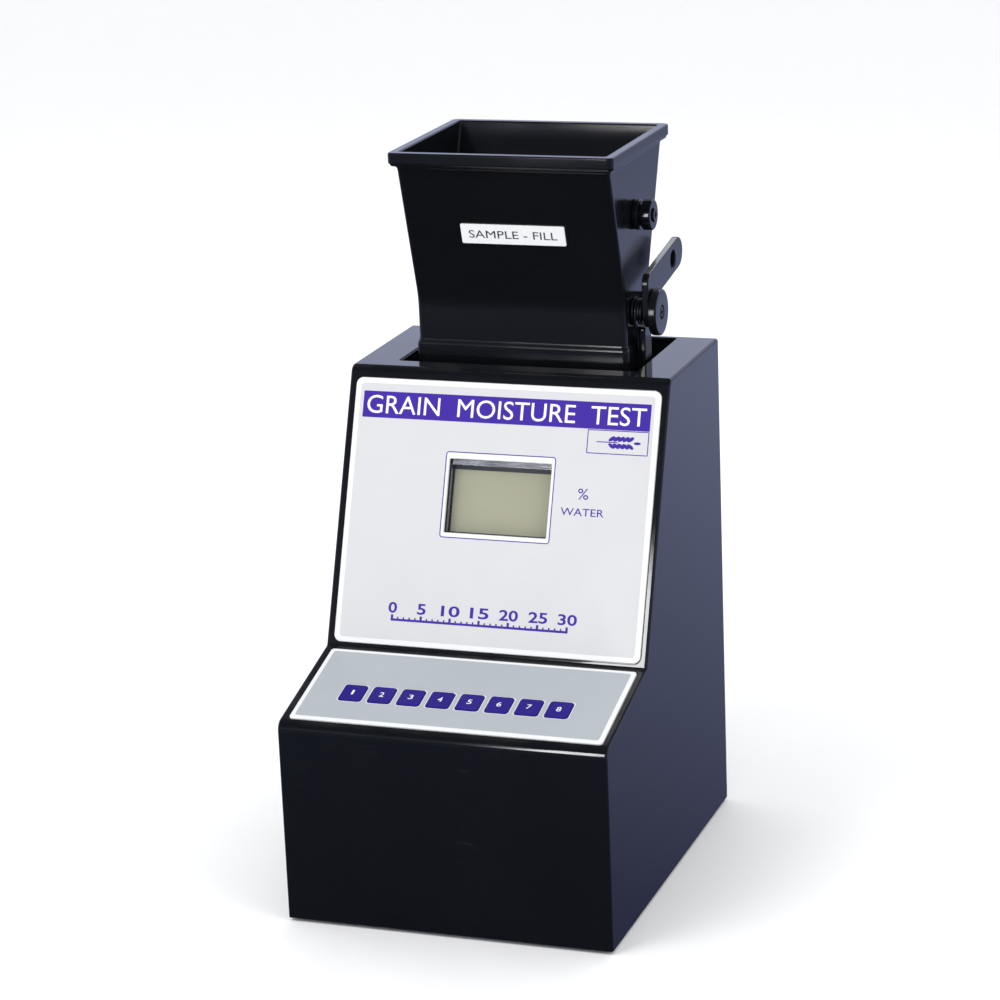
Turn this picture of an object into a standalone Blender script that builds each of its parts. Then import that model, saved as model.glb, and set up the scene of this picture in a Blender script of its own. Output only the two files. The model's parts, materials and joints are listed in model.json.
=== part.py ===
"""Grain moisture meter: a wedge-fronted case with a display, a row of keys and a lift-off hopper.

The grain is poured into the hopper, whose tilting gate lets it fall through the well
into the test cell. Millimetres are used below and become metres as each mesh is made.
X runs across the front from left to right, Y runs from front to rear and Z runs up.
The origin is the centre of the whole object's footprint, at the underside of the feet.
"""

import math

import bmesh
import bpy
from mathutils import Matrix

MM = 0.001
GAP = 0.3

# Case
CASE_WIDTH = 185.0
CASE_DEPTH = 228.0
CASE_FRONT = -118.0
CASE_REAR = CASE_FRONT + CASE_DEPTH
CASE_BOTTOM = 2.0
CASE_TOP = CASE_BOTTOM + 277.5
FRONT_WALL_TOP = CASE_BOTTOM + 112.8
KEYPAD_SLOPE = math.radians(14.7)
KEYPAD_LENGTH = 76.3
DISPLAY_SLOPE = math.radians(68.3)
DISPLAY_LENGTH = 156.5
WALL = 3.0
SIDE_EDGE_RADIUS = 1.5
REAR_TOP_RADIUS = 2.0
POCKET = 1.0
PANEL_PROUD = 0.8
PANEL_UNDER = -POCKET + GAP

# Keypad, measured up its slope
KEYPAD_PANEL = (-87.5, 88.5, 5.2, 72.4)
KEY_COUNT = 8
KEY_PITCH = 16.7
KEY_FIRST_X = -59.9
KEY_SIZE = (13.0, 14.4)
KEY_ROW = 31.5
KEY_TRAVEL = 0.7
KEY_SLOT = (-70.5, 68.0, 20.0, 43.0)
KEY_STEM_END = -3.0
DOME_HEIGHT = 1.5
MAT_THICKNESS = 1.2
MAT_TOP = KEY_STEM_END - KEY_TRAVEL - GAP - DOME_HEIGHT
KEYPAD_BOARD = (-79.0, 75.0, 14.0, 50.0)
KEYPAD_BOSSES = [(x, s) for x in (-75.5, 71.5) for s in (18, 46)]

# Display, measured up its slope
DISPLAY_PANEL = (-88.1, 88.5, 2.3, 149.8)
WINDOW = (-29.4, 29.8, 66.4, 107.2)
LCD_VIEW = (-29.0, 29.4, 66.9, 103.2)
BEZEL_UNDER = -6.8
LCD_UNDER = -8.9
DISPLAY_BOARD = (-47.0, 47.0, 53.0, 121.0)
DISPLAY_BOSSES = [(x, s) for x in (-42, 42) for s in (58, 116)]
BOARD_THICKNESS = 1.6

# Well and test cell
WELL = (-69.0, 69.0, 28.0, 105.0)
LINER_WALL = 1.5
WELL_FLOOR = 260.5
CELL = (-60.0, 60.0, 38.0, 80.0)
CELL_WALL = 2.5
CELL_BOTTOM = 124.0
CELL_TOP = WELL_FLOOR - 2.0 - GAP

# Hopper
HOPPER_HALF_WIDTH = 60.8
HOPPER_WALL = 2.0
THROAT_FRONT = 37.0
THROAT_REAR = 81.0
MOUTH_FRONT = 13.5
MOUTH_REAR = 114.5
THROAT_BOTTOM = WELL_FLOOR + GAP
BEND_Z = 313.5
RIM_UNDER = 393.5
RIM_TOP = 400.0
RIM_OVERHANG = 3.5
SHOULDER_Z = 289.0
SHOULDER = 1.0
HOPPER_CORNER = 3.2
LABEL = (-27.9, 31.9, 36.3, 48.2)

# Gate and lever
PIVOT_Y = 53.0
PIVOT_Z = 307.0
SHAFT_RADIUS = 3.5
SHAFT_START = -60.9
SHAFT_END = 73.8
GATE_TILT = math.radians(22.0)
GATE_FRONT = -13.4
GATE_REAR = 27.3
GATE_SCREW_X = (-35.0, 35.0)
LEVER_X = (68.0, 71.8)
LEVER_RISE = math.radians(9.0)
LEVER_HALF_HEIGHT = 8.6
LEVER_END = (51.5, 22.4)
LEVER_HOLE = (40.5, 20.7)
LEVER_HOLE_RADIUS = 4.9
DISC_RADIUS = 12.9
DISC_X = (72.1, 76.9)
STOP_CENTRE = (59.5, 359.9)
STOP_RADIUS = 8.4
REST_PIN = (PIVOT_Y + 15.5, PIVOT_Z + 5.3)

# Rear wall fittings
DOOR_HALF_WIDTH = 31.0
DOOR_BOTTOM = 44.0
DOOR_TOP = 108.0
DOOR_HINGE_Z = DOOR_TOP - 2.2
DOOR_HINGE_Y = CASE_REAR - 1.7
SWITCH_X = -60.0
SWITCH_Z = 88.0
ROCKER_TILT = math.radians(8.0)
SOCKET_Z = 56.0

# Feet and corner posts
FOOT_X = 79.0
FOOT_Y = (CASE_FRONT + 14.0, CASE_REAR - 14.0)
BASE_PLATE_UNDER = 4.0
BASE_PLATE_TOP = 6.0

COLOURS = {
    "case_black": ((0.012, 0.013, 0.018), 0.15, 0.0),
    "hopper_enamel": ((0.010, 0.011, 0.016), 0.12, 0.0),
    "panel_white": ((0.80, 0.82, 0.87), 0.35, 0.0),
    "panel_grey": ((0.56, 0.60, 0.66), 0.40, 0.0),
    "key_violet": ((0.045, 0.020, 0.30), 0.35, 0.0),
    "lcd_grey": ((0.42, 0.42, 0.31), 0.15, 0.0),
    "dark_metal": ((0.10, 0.11, 0.13), 0.25, 1.0),
    "steel": ((0.62, 0.63, 0.65), 0.30, 1.0),
    "brass": ((0.70, 0.52, 0.22), 0.35, 1.0),
    "rubber": ((0.02, 0.02, 0.02), 0.80, 0.0),
    "black_plastic": ((0.02, 0.02, 0.023), 0.45, 0.0),
    "board_green": ((0.02, 0.16, 0.06), 0.45, 0.0),
    "insulator_white": ((0.75, 0.74, 0.70), 0.45, 0.0),
    "battery_sleeve": ((0.05, 0.07, 0.20), 0.35, 0.0),
    "silicone_grey": ((0.25, 0.25, 0.26), 0.65, 0.0),
}


def clear_scene():
    for item in list(bpy.data.objects):
        bpy.data.objects.remove(item, do_unlink=True)


def make_material(name):
    colour, roughness, metallic = COLOURS[name]
    made = bpy.data.materials.get(name)
    if made is None:
        made = bpy.data.materials.new(name)
        made.use_nodes = True
        shader = made.node_tree.nodes["Principled BSDF"]
        shader.inputs["Base Color"].default_value = (*colour, 1.0)
        shader.inputs["Roughness"].default_value = roughness
        shader.inputs["Metallic"].default_value = metallic
    return made


# Outlines


def arc(cu, cv, radius, start, end, steps):
    """Points on an arc, both ends included, with the angles in degrees."""
    angles = [math.radians(start + (end - start) * i / steps) for i in range(steps + 1)]
    return [(cu + radius * math.cos(a), cv + radius * math.sin(a)) for a in angles]


def circle(cu, cv, radius, sides):
    return arc(cu, cv, radius, 0, 360 - 360 / sides, sides - 1)


def rounded_rect(u0, u1, v0, v1, radius, steps=3):
    return (
        arc(u1 - radius, v1 - radius, radius, 0, 90, steps)
        + arc(u0 + radius, v1 - radius, radius, 90, 180, steps)
        + arc(u0 + radius, v0 + radius, radius, 180, 270, steps)
        + arc(u1 - radius, v0 + radius, radius, 270, 360, steps)
    )


def rounded_polygon(corners, radii, steps):
    """The polygon with each corner turned into an arc; a corner with no radius stays a point."""
    points = []
    count = len(corners)
    for i, (here, radius) in enumerate(zip(corners, radii)):
        if radius == 0:
            points.append(here)
            continue
        before = corners[i - 1]
        after = corners[(i + 1) % count]
        back = math.atan2(before[1] - here[1], before[0] - here[0])
        onward = math.atan2(after[1] - here[1], after[0] - here[0])
        half = math.remainder(onward - back, 2 * math.pi) / 2
        reach = radius / abs(math.sin(half))
        cu = here[0] + reach * math.cos(back + half)
        cv = here[1] + reach * math.sin(back + half)
        sweep = math.copysign(math.pi - 2 * abs(half), half)
        middle = back + half + math.pi
        for k in range(steps + 1):
            a = middle + sweep * (0.5 - k / steps)
            points.append((cu + radius * math.cos(a), cv + radius * math.sin(a)))
    return points


def line_meet(p, p_dir, q, q_dir):
    """Where two lines cross, each given by a point and a direction."""
    det = p_dir[0] * q_dir[1] - p_dir[1] * q_dir[0]
    t = ((q[0] - p[0]) * q_dir[1] - (q[1] - p[1]) * q_dir[0]) / det
    return (p[0] + p_dir[0] * t, p[1] + p_dir[1] * t)


CREASE = (
    CASE_FRONT + KEYPAD_LENGTH * math.cos(KEYPAD_SLOPE),
    FRONT_WALL_TOP + KEYPAD_LENGTH * math.sin(KEYPAD_SLOPE),
)
TOP_EDGE_Y = CREASE[0] + DISPLAY_LENGTH * math.cos(DISPLAY_SLOPE)


def case_profile(inset, bottom):
    """The case's side outline in Y and Z, moved in by inset on every side but the bottom."""
    corners = [
        (CASE_FRONT, CASE_BOTTOM),
        (CASE_FRONT, FRONT_WALL_TOP),
        CREASE,
        (TOP_EDGE_Y, CASE_TOP),
        (CASE_REAR, CASE_TOP),
        (CASE_REAR, CASE_BOTTOM),
    ]
    lines = []
    for start, end in zip(corners, corners[1:]):
        length = math.dist(start, end)
        along = ((end[0] - start[0]) / length, (end[1] - start[1]) / length)
        lines.append(((start[0] + along[1] * inset, start[1] - along[0] * inset), along))
    moved = [(lines[0][0][0], bottom)]
    for one, two in zip(lines, lines[1:]):
        moved.append(line_meet(*one, *two))
    moved.append((lines[-1][0][0], bottom))
    radii = [0, 6.5 - inset, 1.5 + inset, 5.0 - inset, max(0.5, REAR_TOP_RADIUS - inset), 0]
    return rounded_polygon(moved, radii, 4)


# Solids


def place(u, v, w, axis):
    """A point of an outline (u, v) at height w along the named axis."""
    return {"x": (w, u, v), "y": (u, w, v), "z": (u, v, w)}[axis]


def loft(rings, closed=False):
    """A body through rings of points, capped at its two ends or closed on itself."""
    bm = bmesh.new()
    rows = [[bm.verts.new(point) for point in ring] for ring in rings]
    pairs = list(zip(rows, rows[1:]))
    if closed:
        pairs.append((rows[-1], rows[0]))
    else:
        bm.faces.new(rows[0])
        bm.faces.new(rows[-1])
    for low, high in pairs:
        for i in range(len(low)):
            j = (i + 1) % len(low)
            bm.faces.new((low[i], low[j], high[j], high[i]))
    return bm


def prism(outline, low, high, axis):
    return loft([[place(u, v, w, axis) for u, v in outline] for w in (low, high)])


def box(x0, x1, y0, y1, z0, z1):
    return prism([(x0, y0), (x1, y0), (x1, y1), (x0, y1)], z0, z1, "z")


def rod(cu, cv, radius, low, high, axis, sides=24):
    return prism(circle(cu, cv, radius, sides), low, high, axis)


def turned(profile, cu, cv, axis, sides=24, closed=False):
    """A body of rings (w, radius) about an axis; a closed profile leaves a bore through it."""
    rings = []
    for w, radius in profile:
        rings.append([place(u, v, w, axis) for u, v in circle(cu, cv, radius, sides)])
    return loft(rings, closed)


def merged(parts):
    """Several separate bodies in one mesh, for a cutter or for a union."""
    whole = bmesh.new()
    for part in parts:
        mesh = bpy.data.meshes.new("piece")
        bmesh.ops.recalc_face_normals(part, faces=part.faces)
        part.to_mesh(mesh)
        part.free()
        whole.from_mesh(mesh)
        bpy.data.meshes.remove(mesh)
    return whole


def make_object(name, bm, colour=None, parent=None, turn=0.0, at=(0, 0, 0)):
    """A named object from a mesh in millimetres, placed by its parent, place and turn about X."""
    bmesh.ops.recalc_face_normals(bm, faces=bm.faces)
    bmesh.ops.transform(bm, matrix=Matrix.Scale(MM, 4), verts=bm.verts)
    mesh = bpy.data.meshes.new(name)
    bm.to_mesh(mesh)
    bm.free()
    made = bpy.data.objects.new(name, mesh)
    bpy.context.scene.collection.objects.link(made)
    made.parent = parent
    made.location = [value * MM for value in at]
    made.rotation_euler = (turn, 0, 0)
    mesh.shade_smooth()
    mesh.set_sharp_from_angle(angle=math.radians(32))
    if colour:
        mesh.materials.append(make_material(colour))
    return made


def make_frame(name, y, z, turn=0.0):
    """An empty whose local Y and Z lie along and out of a sloped face, or on a joint's axis."""
    empty = bpy.data.objects.new(name, None)
    bpy.context.scene.collection.objects.link(empty)
    empty.empty_display_size = 20 * MM
    empty.location = (0, y * MM, z * MM)
    empty.rotation_euler = (turn, 0, 0)
    return empty


def combine(target, bm, operation="DIFFERENCE", parent=None, turn=0.0, at=(0, 0, 0)):
    """Cuts a body from the target, or adds it, with a Boolean that stays on the target."""
    index = len(target.modifiers) + 1
    tool = make_object(f"{target.name}_tool_{index}", bm, None, parent, turn, at)
    tool.hide_render = True
    tool.display_type = "WIRE"
    step = target.modifiers.new(tool.name, "BOOLEAN")
    step.operation = operation
    step.solver = "EXACT"
    step.object = tool


# Case


def make_case(keypad, display):
    """The outer case with its posts, bosses, pockets and openings."""
    rings = []
    half = CASE_WIDTH / 2
    sides = [math.radians(a) for a in (0, 30, 60, 90)]
    for a in sides:
        x = -half + SIDE_EDGE_RADIUS * (1 - math.sin(a))
        inset = SIDE_EDGE_RADIUS * (1 - math.cos(a))
        rings.append((x, inset))
    rings = rings[::-1]
    rings = rings + [(-x, inset) for x, inset in rings[::-1]]
    body = [[(x, y, z) for y, z in case_profile(inset, CASE_BOTTOM)] for x, inset in rings]
    shell = make_object("case_shell", loft(body), "case_black")
    hollow = prism(case_profile(WALL, CASE_BOTTOM - 10), WALL - half, half - WALL, "x")
    combine(shell, hollow)
    inner = half - WALL
    posts = []
    for x in (-1, 1):
        for y, wall_y in zip(FOOT_Y, (CASE_FRONT + 1, CASE_REAR - 1)):
            x0, x1 = sorted((x * (FOOT_X - 5), x * (inner + 1)))
            y0, y1 = sorted((y + math.copysign(5, -wall_y), wall_y))
            posts.append(box(x0, x1, y0, y1, BASE_PLATE_TOP + GAP, 36))
    combine(shell, merged(posts), "UNION")
    holes = [rod(x * FOOT_X, y, 1.8, 0, 24, "z", 12) for x in (-1, 1) for y in FOOT_Y]
    combine(shell, merged(holes))
    x0, x1, y0, y1 = WELL
    combine(shell, box(x0, x1, y0, y1, CASE_TOP - 20, CASE_TOP + 5))
    x0, x1, s0, s1 = KEYPAD_PANEL
    pocket = rounded_rect(x0 - GAP, x1 + GAP, s0 - GAP, s1 + GAP, 2.0)
    combine(shell, prism(pocket, -POCKET, 5, "z"), parent=keypad)
    x0, x1, s0, s1 = KEY_SLOT
    combine(shell, box(x0, x1, s0, s1, -10, 2), parent=keypad)
    x0, x1, s0, s1 = DISPLAY_PANEL
    pocket = rounded_rect(x0 - GAP, x1 + GAP, s0 - GAP, s1 + GAP, 4.0)
    combine(shell, prism(pocket, -POCKET, 5, "z"), parent=display)
    x0, x1, s0, s1 = WINDOW
    combine(shell, box(x0 - 2, x1 + 2, s0 - 2, s1 + 2, -10, 2), parent=display)
    end = MAT_TOP - MAT_THICKNESS
    bosses = [rod(x, s, 2.5, end, -WALL + 0.5, "z", 12) for x, s in KEYPAD_BOSSES]
    combine(shell, merged(bosses), "UNION", keypad)
    end = LCD_UNDER - GAP
    bosses = [rod(x, s, 3.0, end, -WALL + 0.5, "z", 12) for x, s in DISPLAY_BOSSES]
    combine(shell, merged(bosses), "UNION", display)
    rear = (CASE_REAR - 10, CASE_REAR + 5)
    rear_cuts = [
        box(-DOOR_HALF_WIDTH, DOOR_HALF_WIDTH, *rear, DOOR_BOTTOM, DOOR_TOP),
        box(SWITCH_X - 9.8, SWITCH_X + 9.8, *rear, SWITCH_Z - 6.8, SWITCH_Z + 6.8),
        rod(SWITCH_X, SOCKET_Z, 5.4, *rear, "y", 20),
    ]
    combine(shell, merged(rear_cuts))


def make_base():
    """The bottom plate, and a rubber foot and its screw under each corner."""
    half = CASE_WIDTH / 2 - WALL - GAP
    front = CASE_FRONT + WALL + GAP
    rear = CASE_REAR - WALL - GAP
    plate = make_object(
        "base_plate", box(-half, half, front, rear, BASE_PLATE_UNDER, BASE_PLATE_TOP), "steel"
    )
    holes = [rod(x * FOOT_X, y, 1.8, 0, 10, "z", 12) for x in (-1, 1) for y in FOOT_Y]
    combine(plate, merged(holes))
    bosses = [
        rod(x, y, 3.0, BASE_PLATE_TOP - 0.5, 11.7, "z", 12) for x in (-60, 60) for y in (-84, -14)
    ]
    combine(plate, merged(bosses), "UNION")
    foot = [(0.0, 7.0), (0.7, 7.7), (3.7, 8.0), (3.7, 1.8), (3.2, 1.8), (3.2, 3.6), (0.0, 3.6)]
    screw = [(1.1, 2.4), (1.5, 3.0), (2.9, 3.0), (2.9, 1.5), (22.0, 1.5)]
    number = 0
    for y in FOOT_Y:
        for x in (-FOOT_X, FOOT_X):
            number += 1
            make_object(f"foot_{number}", turned(foot, x, y, "z", 20, closed=True), "rubber")
            make_object(f"foot_screw_{number}", turned(screw, x, y, "z", 12), "steel")


def make_main_board():
    """The measuring circuit on the bottom plate's bosses."""
    board = make_object("main_board", box(-66, 66, -92, -6, 12, 13.6), "board_green")
    chips = [
        box(-52, -28, -78, -52, 13.1, 17),
        box(-16, 2, -74, -62, 13.1, 16),
        box(16, 50, -80, -60, 13.1, 25),
        box(-46, -22, -40, -20, 13.1, 22),
        box(-6, 12, -42, -24, 13.1, 16),
        box(28, 54, -44, -18, 13.1, 19),
    ]
    combine(board, merged(chips), "UNION")


# Keypad


def key_x(index):
    return KEY_FIRST_X + KEY_PITCH * index


def make_keypad(keypad):
    """The keypad's panel, its eight keys, the rubber dome mat under them and their board."""
    width, height = KEY_SIZE
    x0, x1, s0, s1 = KEYPAD_PANEL
    outline = rounded_rect(x0, x1, s0, s1, 2.0)
    panel = make_object(
        "keypad_panel", prism(outline, PANEL_UNDER, PANEL_PROUD, "z"), "panel_grey", keypad
    )
    holes = []
    for i in range(KEY_COUNT):
        u, v = width / 2 + GAP, height / 2 + GAP
        hole = rounded_rect(key_x(i) - u, key_x(i) + u, KEY_ROW - v, KEY_ROW + v, 2.0)
        holes.append(prism(hole, -5, 5, "z"))
    combine(panel, merged(holes), parent=keypad)
    for i in range(KEY_COUNT):
        make_key(i, keypad)
    x0, x1, s0, s1 = KEY_SLOT
    mat = make_object(
        "keypad_mat",
        box(x0 + 0.5, x1 - 0.5, s0 + 0.5, s1 - 0.5, MAT_TOP - MAT_THICKNESS, MAT_TOP),
        "silicone_grey",
        keypad,
    )
    dome = [(MAT_TOP - 0.5, 4.2), (MAT_TOP + 0.2, 4.0), (MAT_TOP + DOME_HEIGHT, 2.4)]
    domes = [turned(dome, key_x(i), KEY_ROW, "z", 12) for i in range(KEY_COUNT)]
    combine(mat, merged(domes), "UNION", keypad)
    x0, x1, s0, s1 = KEYPAD_BOARD
    top = MAT_TOP - MAT_THICKNESS - GAP
    board = box(x0, x1, s0, s1, top - BOARD_THICKNESS, top)
    make_object("keypad_board", board, "board_green", keypad)


def make_key(index, keypad):
    """One key: a cap through the panel, with a flange and a stem below it."""
    width, height = KEY_SIZE
    flange = -POCKET - 0.8
    layers = [
        (KEY_STEM_END, -4.4, -4.4, 1.2),
        (flange, -4.4, -4.4, 1.2),
        (flange, 1.0, 1.0, 1.5),
        (-POCKET, 1.0, 1.0, 1.5),
        (-POCKET, 0, 0, 1.8),
        (1.2, 0, 0, 1.8),
        (1.5, -0.3, -0.3, 1.5),
    ]
    rings = []
    for level, grow_x, grow_s, radius in layers:
        u, v = width / 2 + grow_x, height / 2 + grow_s
        outline = rounded_rect(-u, u, -v, v, radius)
        rings.append([(x, s, level) for x, s in outline])
    at = (key_x(index), KEY_ROW, 0)
    make_object(f"key_{index + 1}", loft(rings), "key_violet", keypad, at=at)


# Display


def frame_ring(outer, inner, low, high):
    """A flat frame between two rectangles."""
    loops = []
    for (x0, x1, s0, s1), level in ((outer, low), (outer, high), (inner, high), (inner, low)):
        loops.append([(x0, s0, level), (x1, s0, level), (x1, s1, level), (x0, s1, level)])
    return loft(loops, closed=True)


def make_display(display):
    """The display panel with its window, and the bezel, glass and board of the display."""
    x0, x1, s0, s1 = DISPLAY_PANEL
    outline = rounded_rect(x0, x1, s0, s1, 4.0, 4)
    panel = make_object(
        "display_panel", prism(outline, PANEL_UNDER, PANEL_PROUD, "z"), "panel_white", display
    )
    x0, x1, s0, s1 = WINDOW
    combine(panel, prism(rounded_rect(x0, x1, s0, s1, 0.6, 2), -5, 5, "z"), parent=display)
    outer = (x0 - 5, x1 + 5, s0 - 5, s1 + 5)
    ring = frame_ring(outer, LCD_VIEW, BEZEL_UNDER, -WALL - GAP)
    make_object("lcd_bezel", ring, "dark_metal", display)
    u0, u1, v0, v1 = outer
    glass = box(u0, u1, v0, v1, LCD_UNDER, BEZEL_UNDER - GAP)
    make_object("lcd_glass", glass, "lcd_grey", display)
    x0, x1, s0, s1 = DISPLAY_BOARD
    top = LCD_UNDER - 2 * GAP
    board = box(x0, x1, s0, s1, top - BOARD_THICKNESS, top)
    make_object("display_board", board, "board_green", display)


# Well and test cell


def rect_loop(x0, x1, y0, y1, z):
    return [(x0, y0, z), (x1, y0, z), (x1, y1, z), (x0, y1, z)]


def grown(rect, by):
    return (rect[0] - by, rect[1] + by, rect[2] - by, rect[3] + by)


def make_well():
    """The tray under the top opening, with a flange, a floor and a ridge that seats the hopper."""
    side = LINER_WALL - GAP
    outer = grown(WELL, side)
    flange = (WELL[0] - 7, WELL[1] + 7, WELL[2] - 6, outer[3] + 0.4)
    under_top = CASE_TOP - WALL - GAP
    throat = (-HOPPER_HALF_WIDTH, HOPPER_HALF_WIDTH, THROAT_FRONT, THROAT_REAR)
    ridge_in = grown(throat, SHOULDER + 0.5)
    ridge_out = grown(ridge_in, 2.0)
    mouth = grown(throat, -HOPPER_WALL - 1.5)
    levels = [
        (outer, WELL_FLOOR - 2),
        (outer, under_top - 1.5),
        (flange, under_top - 1.5),
        (flange, under_top),
        (WELL, under_top),
        (WELL, WELL_FLOOR),
        (ridge_out, WELL_FLOOR),
        (ridge_out, WELL_FLOOR + 5),
        (ridge_in, WELL_FLOOR + 5),
        (ridge_in, WELL_FLOOR),
        (mouth, WELL_FLOOR),
        (mouth, WELL_FLOOR - 2),
    ]
    loops = [rect_loop(*rect, z) for rect, z in levels]
    make_object("well_liner", loft(loops, closed=True), "dark_metal")


def make_cell():
    """The test cell: an outer sleeve, an insulating floor, the middle plate, and what holds them."""
    inner = grown(CELL, -CELL_WALL)
    levels = [(CELL, CELL_BOTTOM), (CELL, CELL_TOP), (inner, CELL_TOP), (inner, CELL_BOTTOM)]
    sleeve = make_object(
        "cell_body", loft([rect_loop(*rect, z) for rect, z in levels], closed=True), "steel"
    )
    combine(sleeve, rod(38, 148, 3.3, CELL[2] - 5, CELL[2] + 8, "y", 16))
    x0, x1, y0, y1 = grown(inner, -GAP)
    floor_top = CELL_BOTTOM + 10
    make_object("cell_insulator", box(x0, x1, y0, y1, CELL_BOTTOM, floor_top), "insulator_white")
    middle = (CELL[2] + CELL[3]) / 2
    plate = [(-44, floor_top + GAP), (44, floor_top + GAP), (44, 226), (38, 232), (-38, 232), (-44, 226)]
    make_object("cell_electrode", prism(plate, middle - 1, middle + 1, "y"), "brass")
    probe = [(24.0, 4.5), (30.0, 4.5), (37.6, 4.5), (37.6, 3.0), (47.0, 3.0), (49.0, 1.8)]
    make_object("temperature_sensor", turned(probe, 38, 148, "y", 16), "steel")
    top = CELL_BOTTOM - GAP
    foot = BASE_PLATE_TOP + GAP
    bracket = [
        (-64, foot), (-46, foot), (-46, top - 2), (46, top - 2), (46, foot), (64, foot),
        (64, foot + 2), (48, foot + 2), (48, top), (-48, top), (-48, foot + 2), (-64, foot + 2),
    ]
    make_object("cell_bracket", prism(bracket, middle - 15, middle + 15, "y"), "steel")


# Hopper


def hopper_loop(z, grow, corner):
    """The hopper's outline at a height, moved out by grow; below the bend it is the throat."""
    slope = (z - BEND_Z) / (RIM_UNDER - BEND_Z)
    blend = 6.0 / (RIM_UNDER - BEND_Z)
    rise = min(1.0, max(0.0, slope))
    if abs(slope) < blend:
        rise = (slope + blend) ** 2 / (4 * blend)
    front = THROAT_FRONT + (MOUTH_FRONT - THROAT_FRONT) * rise - grow
    rear = THROAT_REAR + (MOUTH_REAR - THROAT_REAR) * rise + grow
    half = HOPPER_HALF_WIDTH + grow
    return [(x, y, z) for x, y in rounded_rect(-half, half, front, rear, corner, 4)]


def make_hopper():
    """The hopper: a throat with a shoulder, sloped front and rear walls, and an outward rim."""
    bend = [BEND_Z - 6, BEND_Z - 3, BEND_Z, BEND_Z + 3, BEND_Z + 6]
    levels = [(THROAT_BOTTOM, SHOULDER), (SHOULDER_Z - 2, SHOULDER)]
    levels += [(SHOULDER_Z, SHOULDER * 0.7), (SHOULDER_Z + 1.5, 0)]
    levels += [(z, 0) for z in bend]
    levels += [(RIM_UNDER - 2, 0), (RIM_UNDER, RIM_OVERHANG - 0.8)]
    levels += [(RIM_UNDER + 1, RIM_OVERHANG), (RIM_TOP - 0.8, RIM_OVERHANG)]
    levels += [(RIM_TOP, RIM_OVERHANG - 0.8), (RIM_TOP, -HOPPER_WALL + 0.6)]
    levels += [(RIM_TOP - 1, -HOPPER_WALL)]
    levels += [(z, -HOPPER_WALL) for z in bend[::-1]]
    levels += [(THROAT_BOTTOM, -HOPPER_WALL)]
    rings = [hopper_loop(z, grow, HOPPER_CORNER + min(grow, 0)) for z, grow in levels]
    body = make_object("hopper_body", loft(rings, closed=True), "hopper_enamel")
    reach = HOPPER_HALF_WIDTH + 5
    combine(body, rod(PIVOT_Y, PIVOT_Z, 5.5, -reach, reach, "x", 24))
    lean = math.atan2(RIM_UNDER - BEND_Z, MOUTH_FRONT - THROAT_FRONT)
    face = make_frame("hopper_front_slope", THROAT_FRONT, BEND_Z, lean)
    label = rounded_rect(*LABEL, 0.6, 2)
    make_object("hopper_label", prism(label, GAP, GAP + 0.8, "z"), "panel_white", face)


def lever_outline():
    """The lever in Y and Z from its pivot: a hub, a short neck and a bar with a round end."""
    along = (math.cos(LEVER_RISE), math.sin(LEVER_RISE))
    out = (-along[1], along[0])
    hub = 8.6
    end = arc(*LEVER_END, LEVER_HALF_HEIGHT, 9 - 90, 9 + 90, 8)
    low = (LEVER_END[0] - out[0] * LEVER_HALF_HEIGHT, LEVER_END[1] - out[1] * LEVER_HALF_HEIGHT)
    high = (LEVER_END[0] + out[0] * LEVER_HALF_HEIGHT, LEVER_END[1] + out[1] * LEVER_HALF_HEIGHT)
    inner = line_meet(low, along, (hub, 0), (0, 1))
    outer = line_meet(high, along, (-hub, 0), (0, 1))
    inner_corner = rounded_polygon([(hub, 0), inner, low], [0, 3.5, 0], 3)[1:-1]
    outer_corner = rounded_polygon([high, outer, (-hub, 0)], [0, 6.0, 0], 4)[1:-1]
    return inner_corner + end + outer_corner + arc(0, 0, hub, 180, 360, 8)


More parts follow.
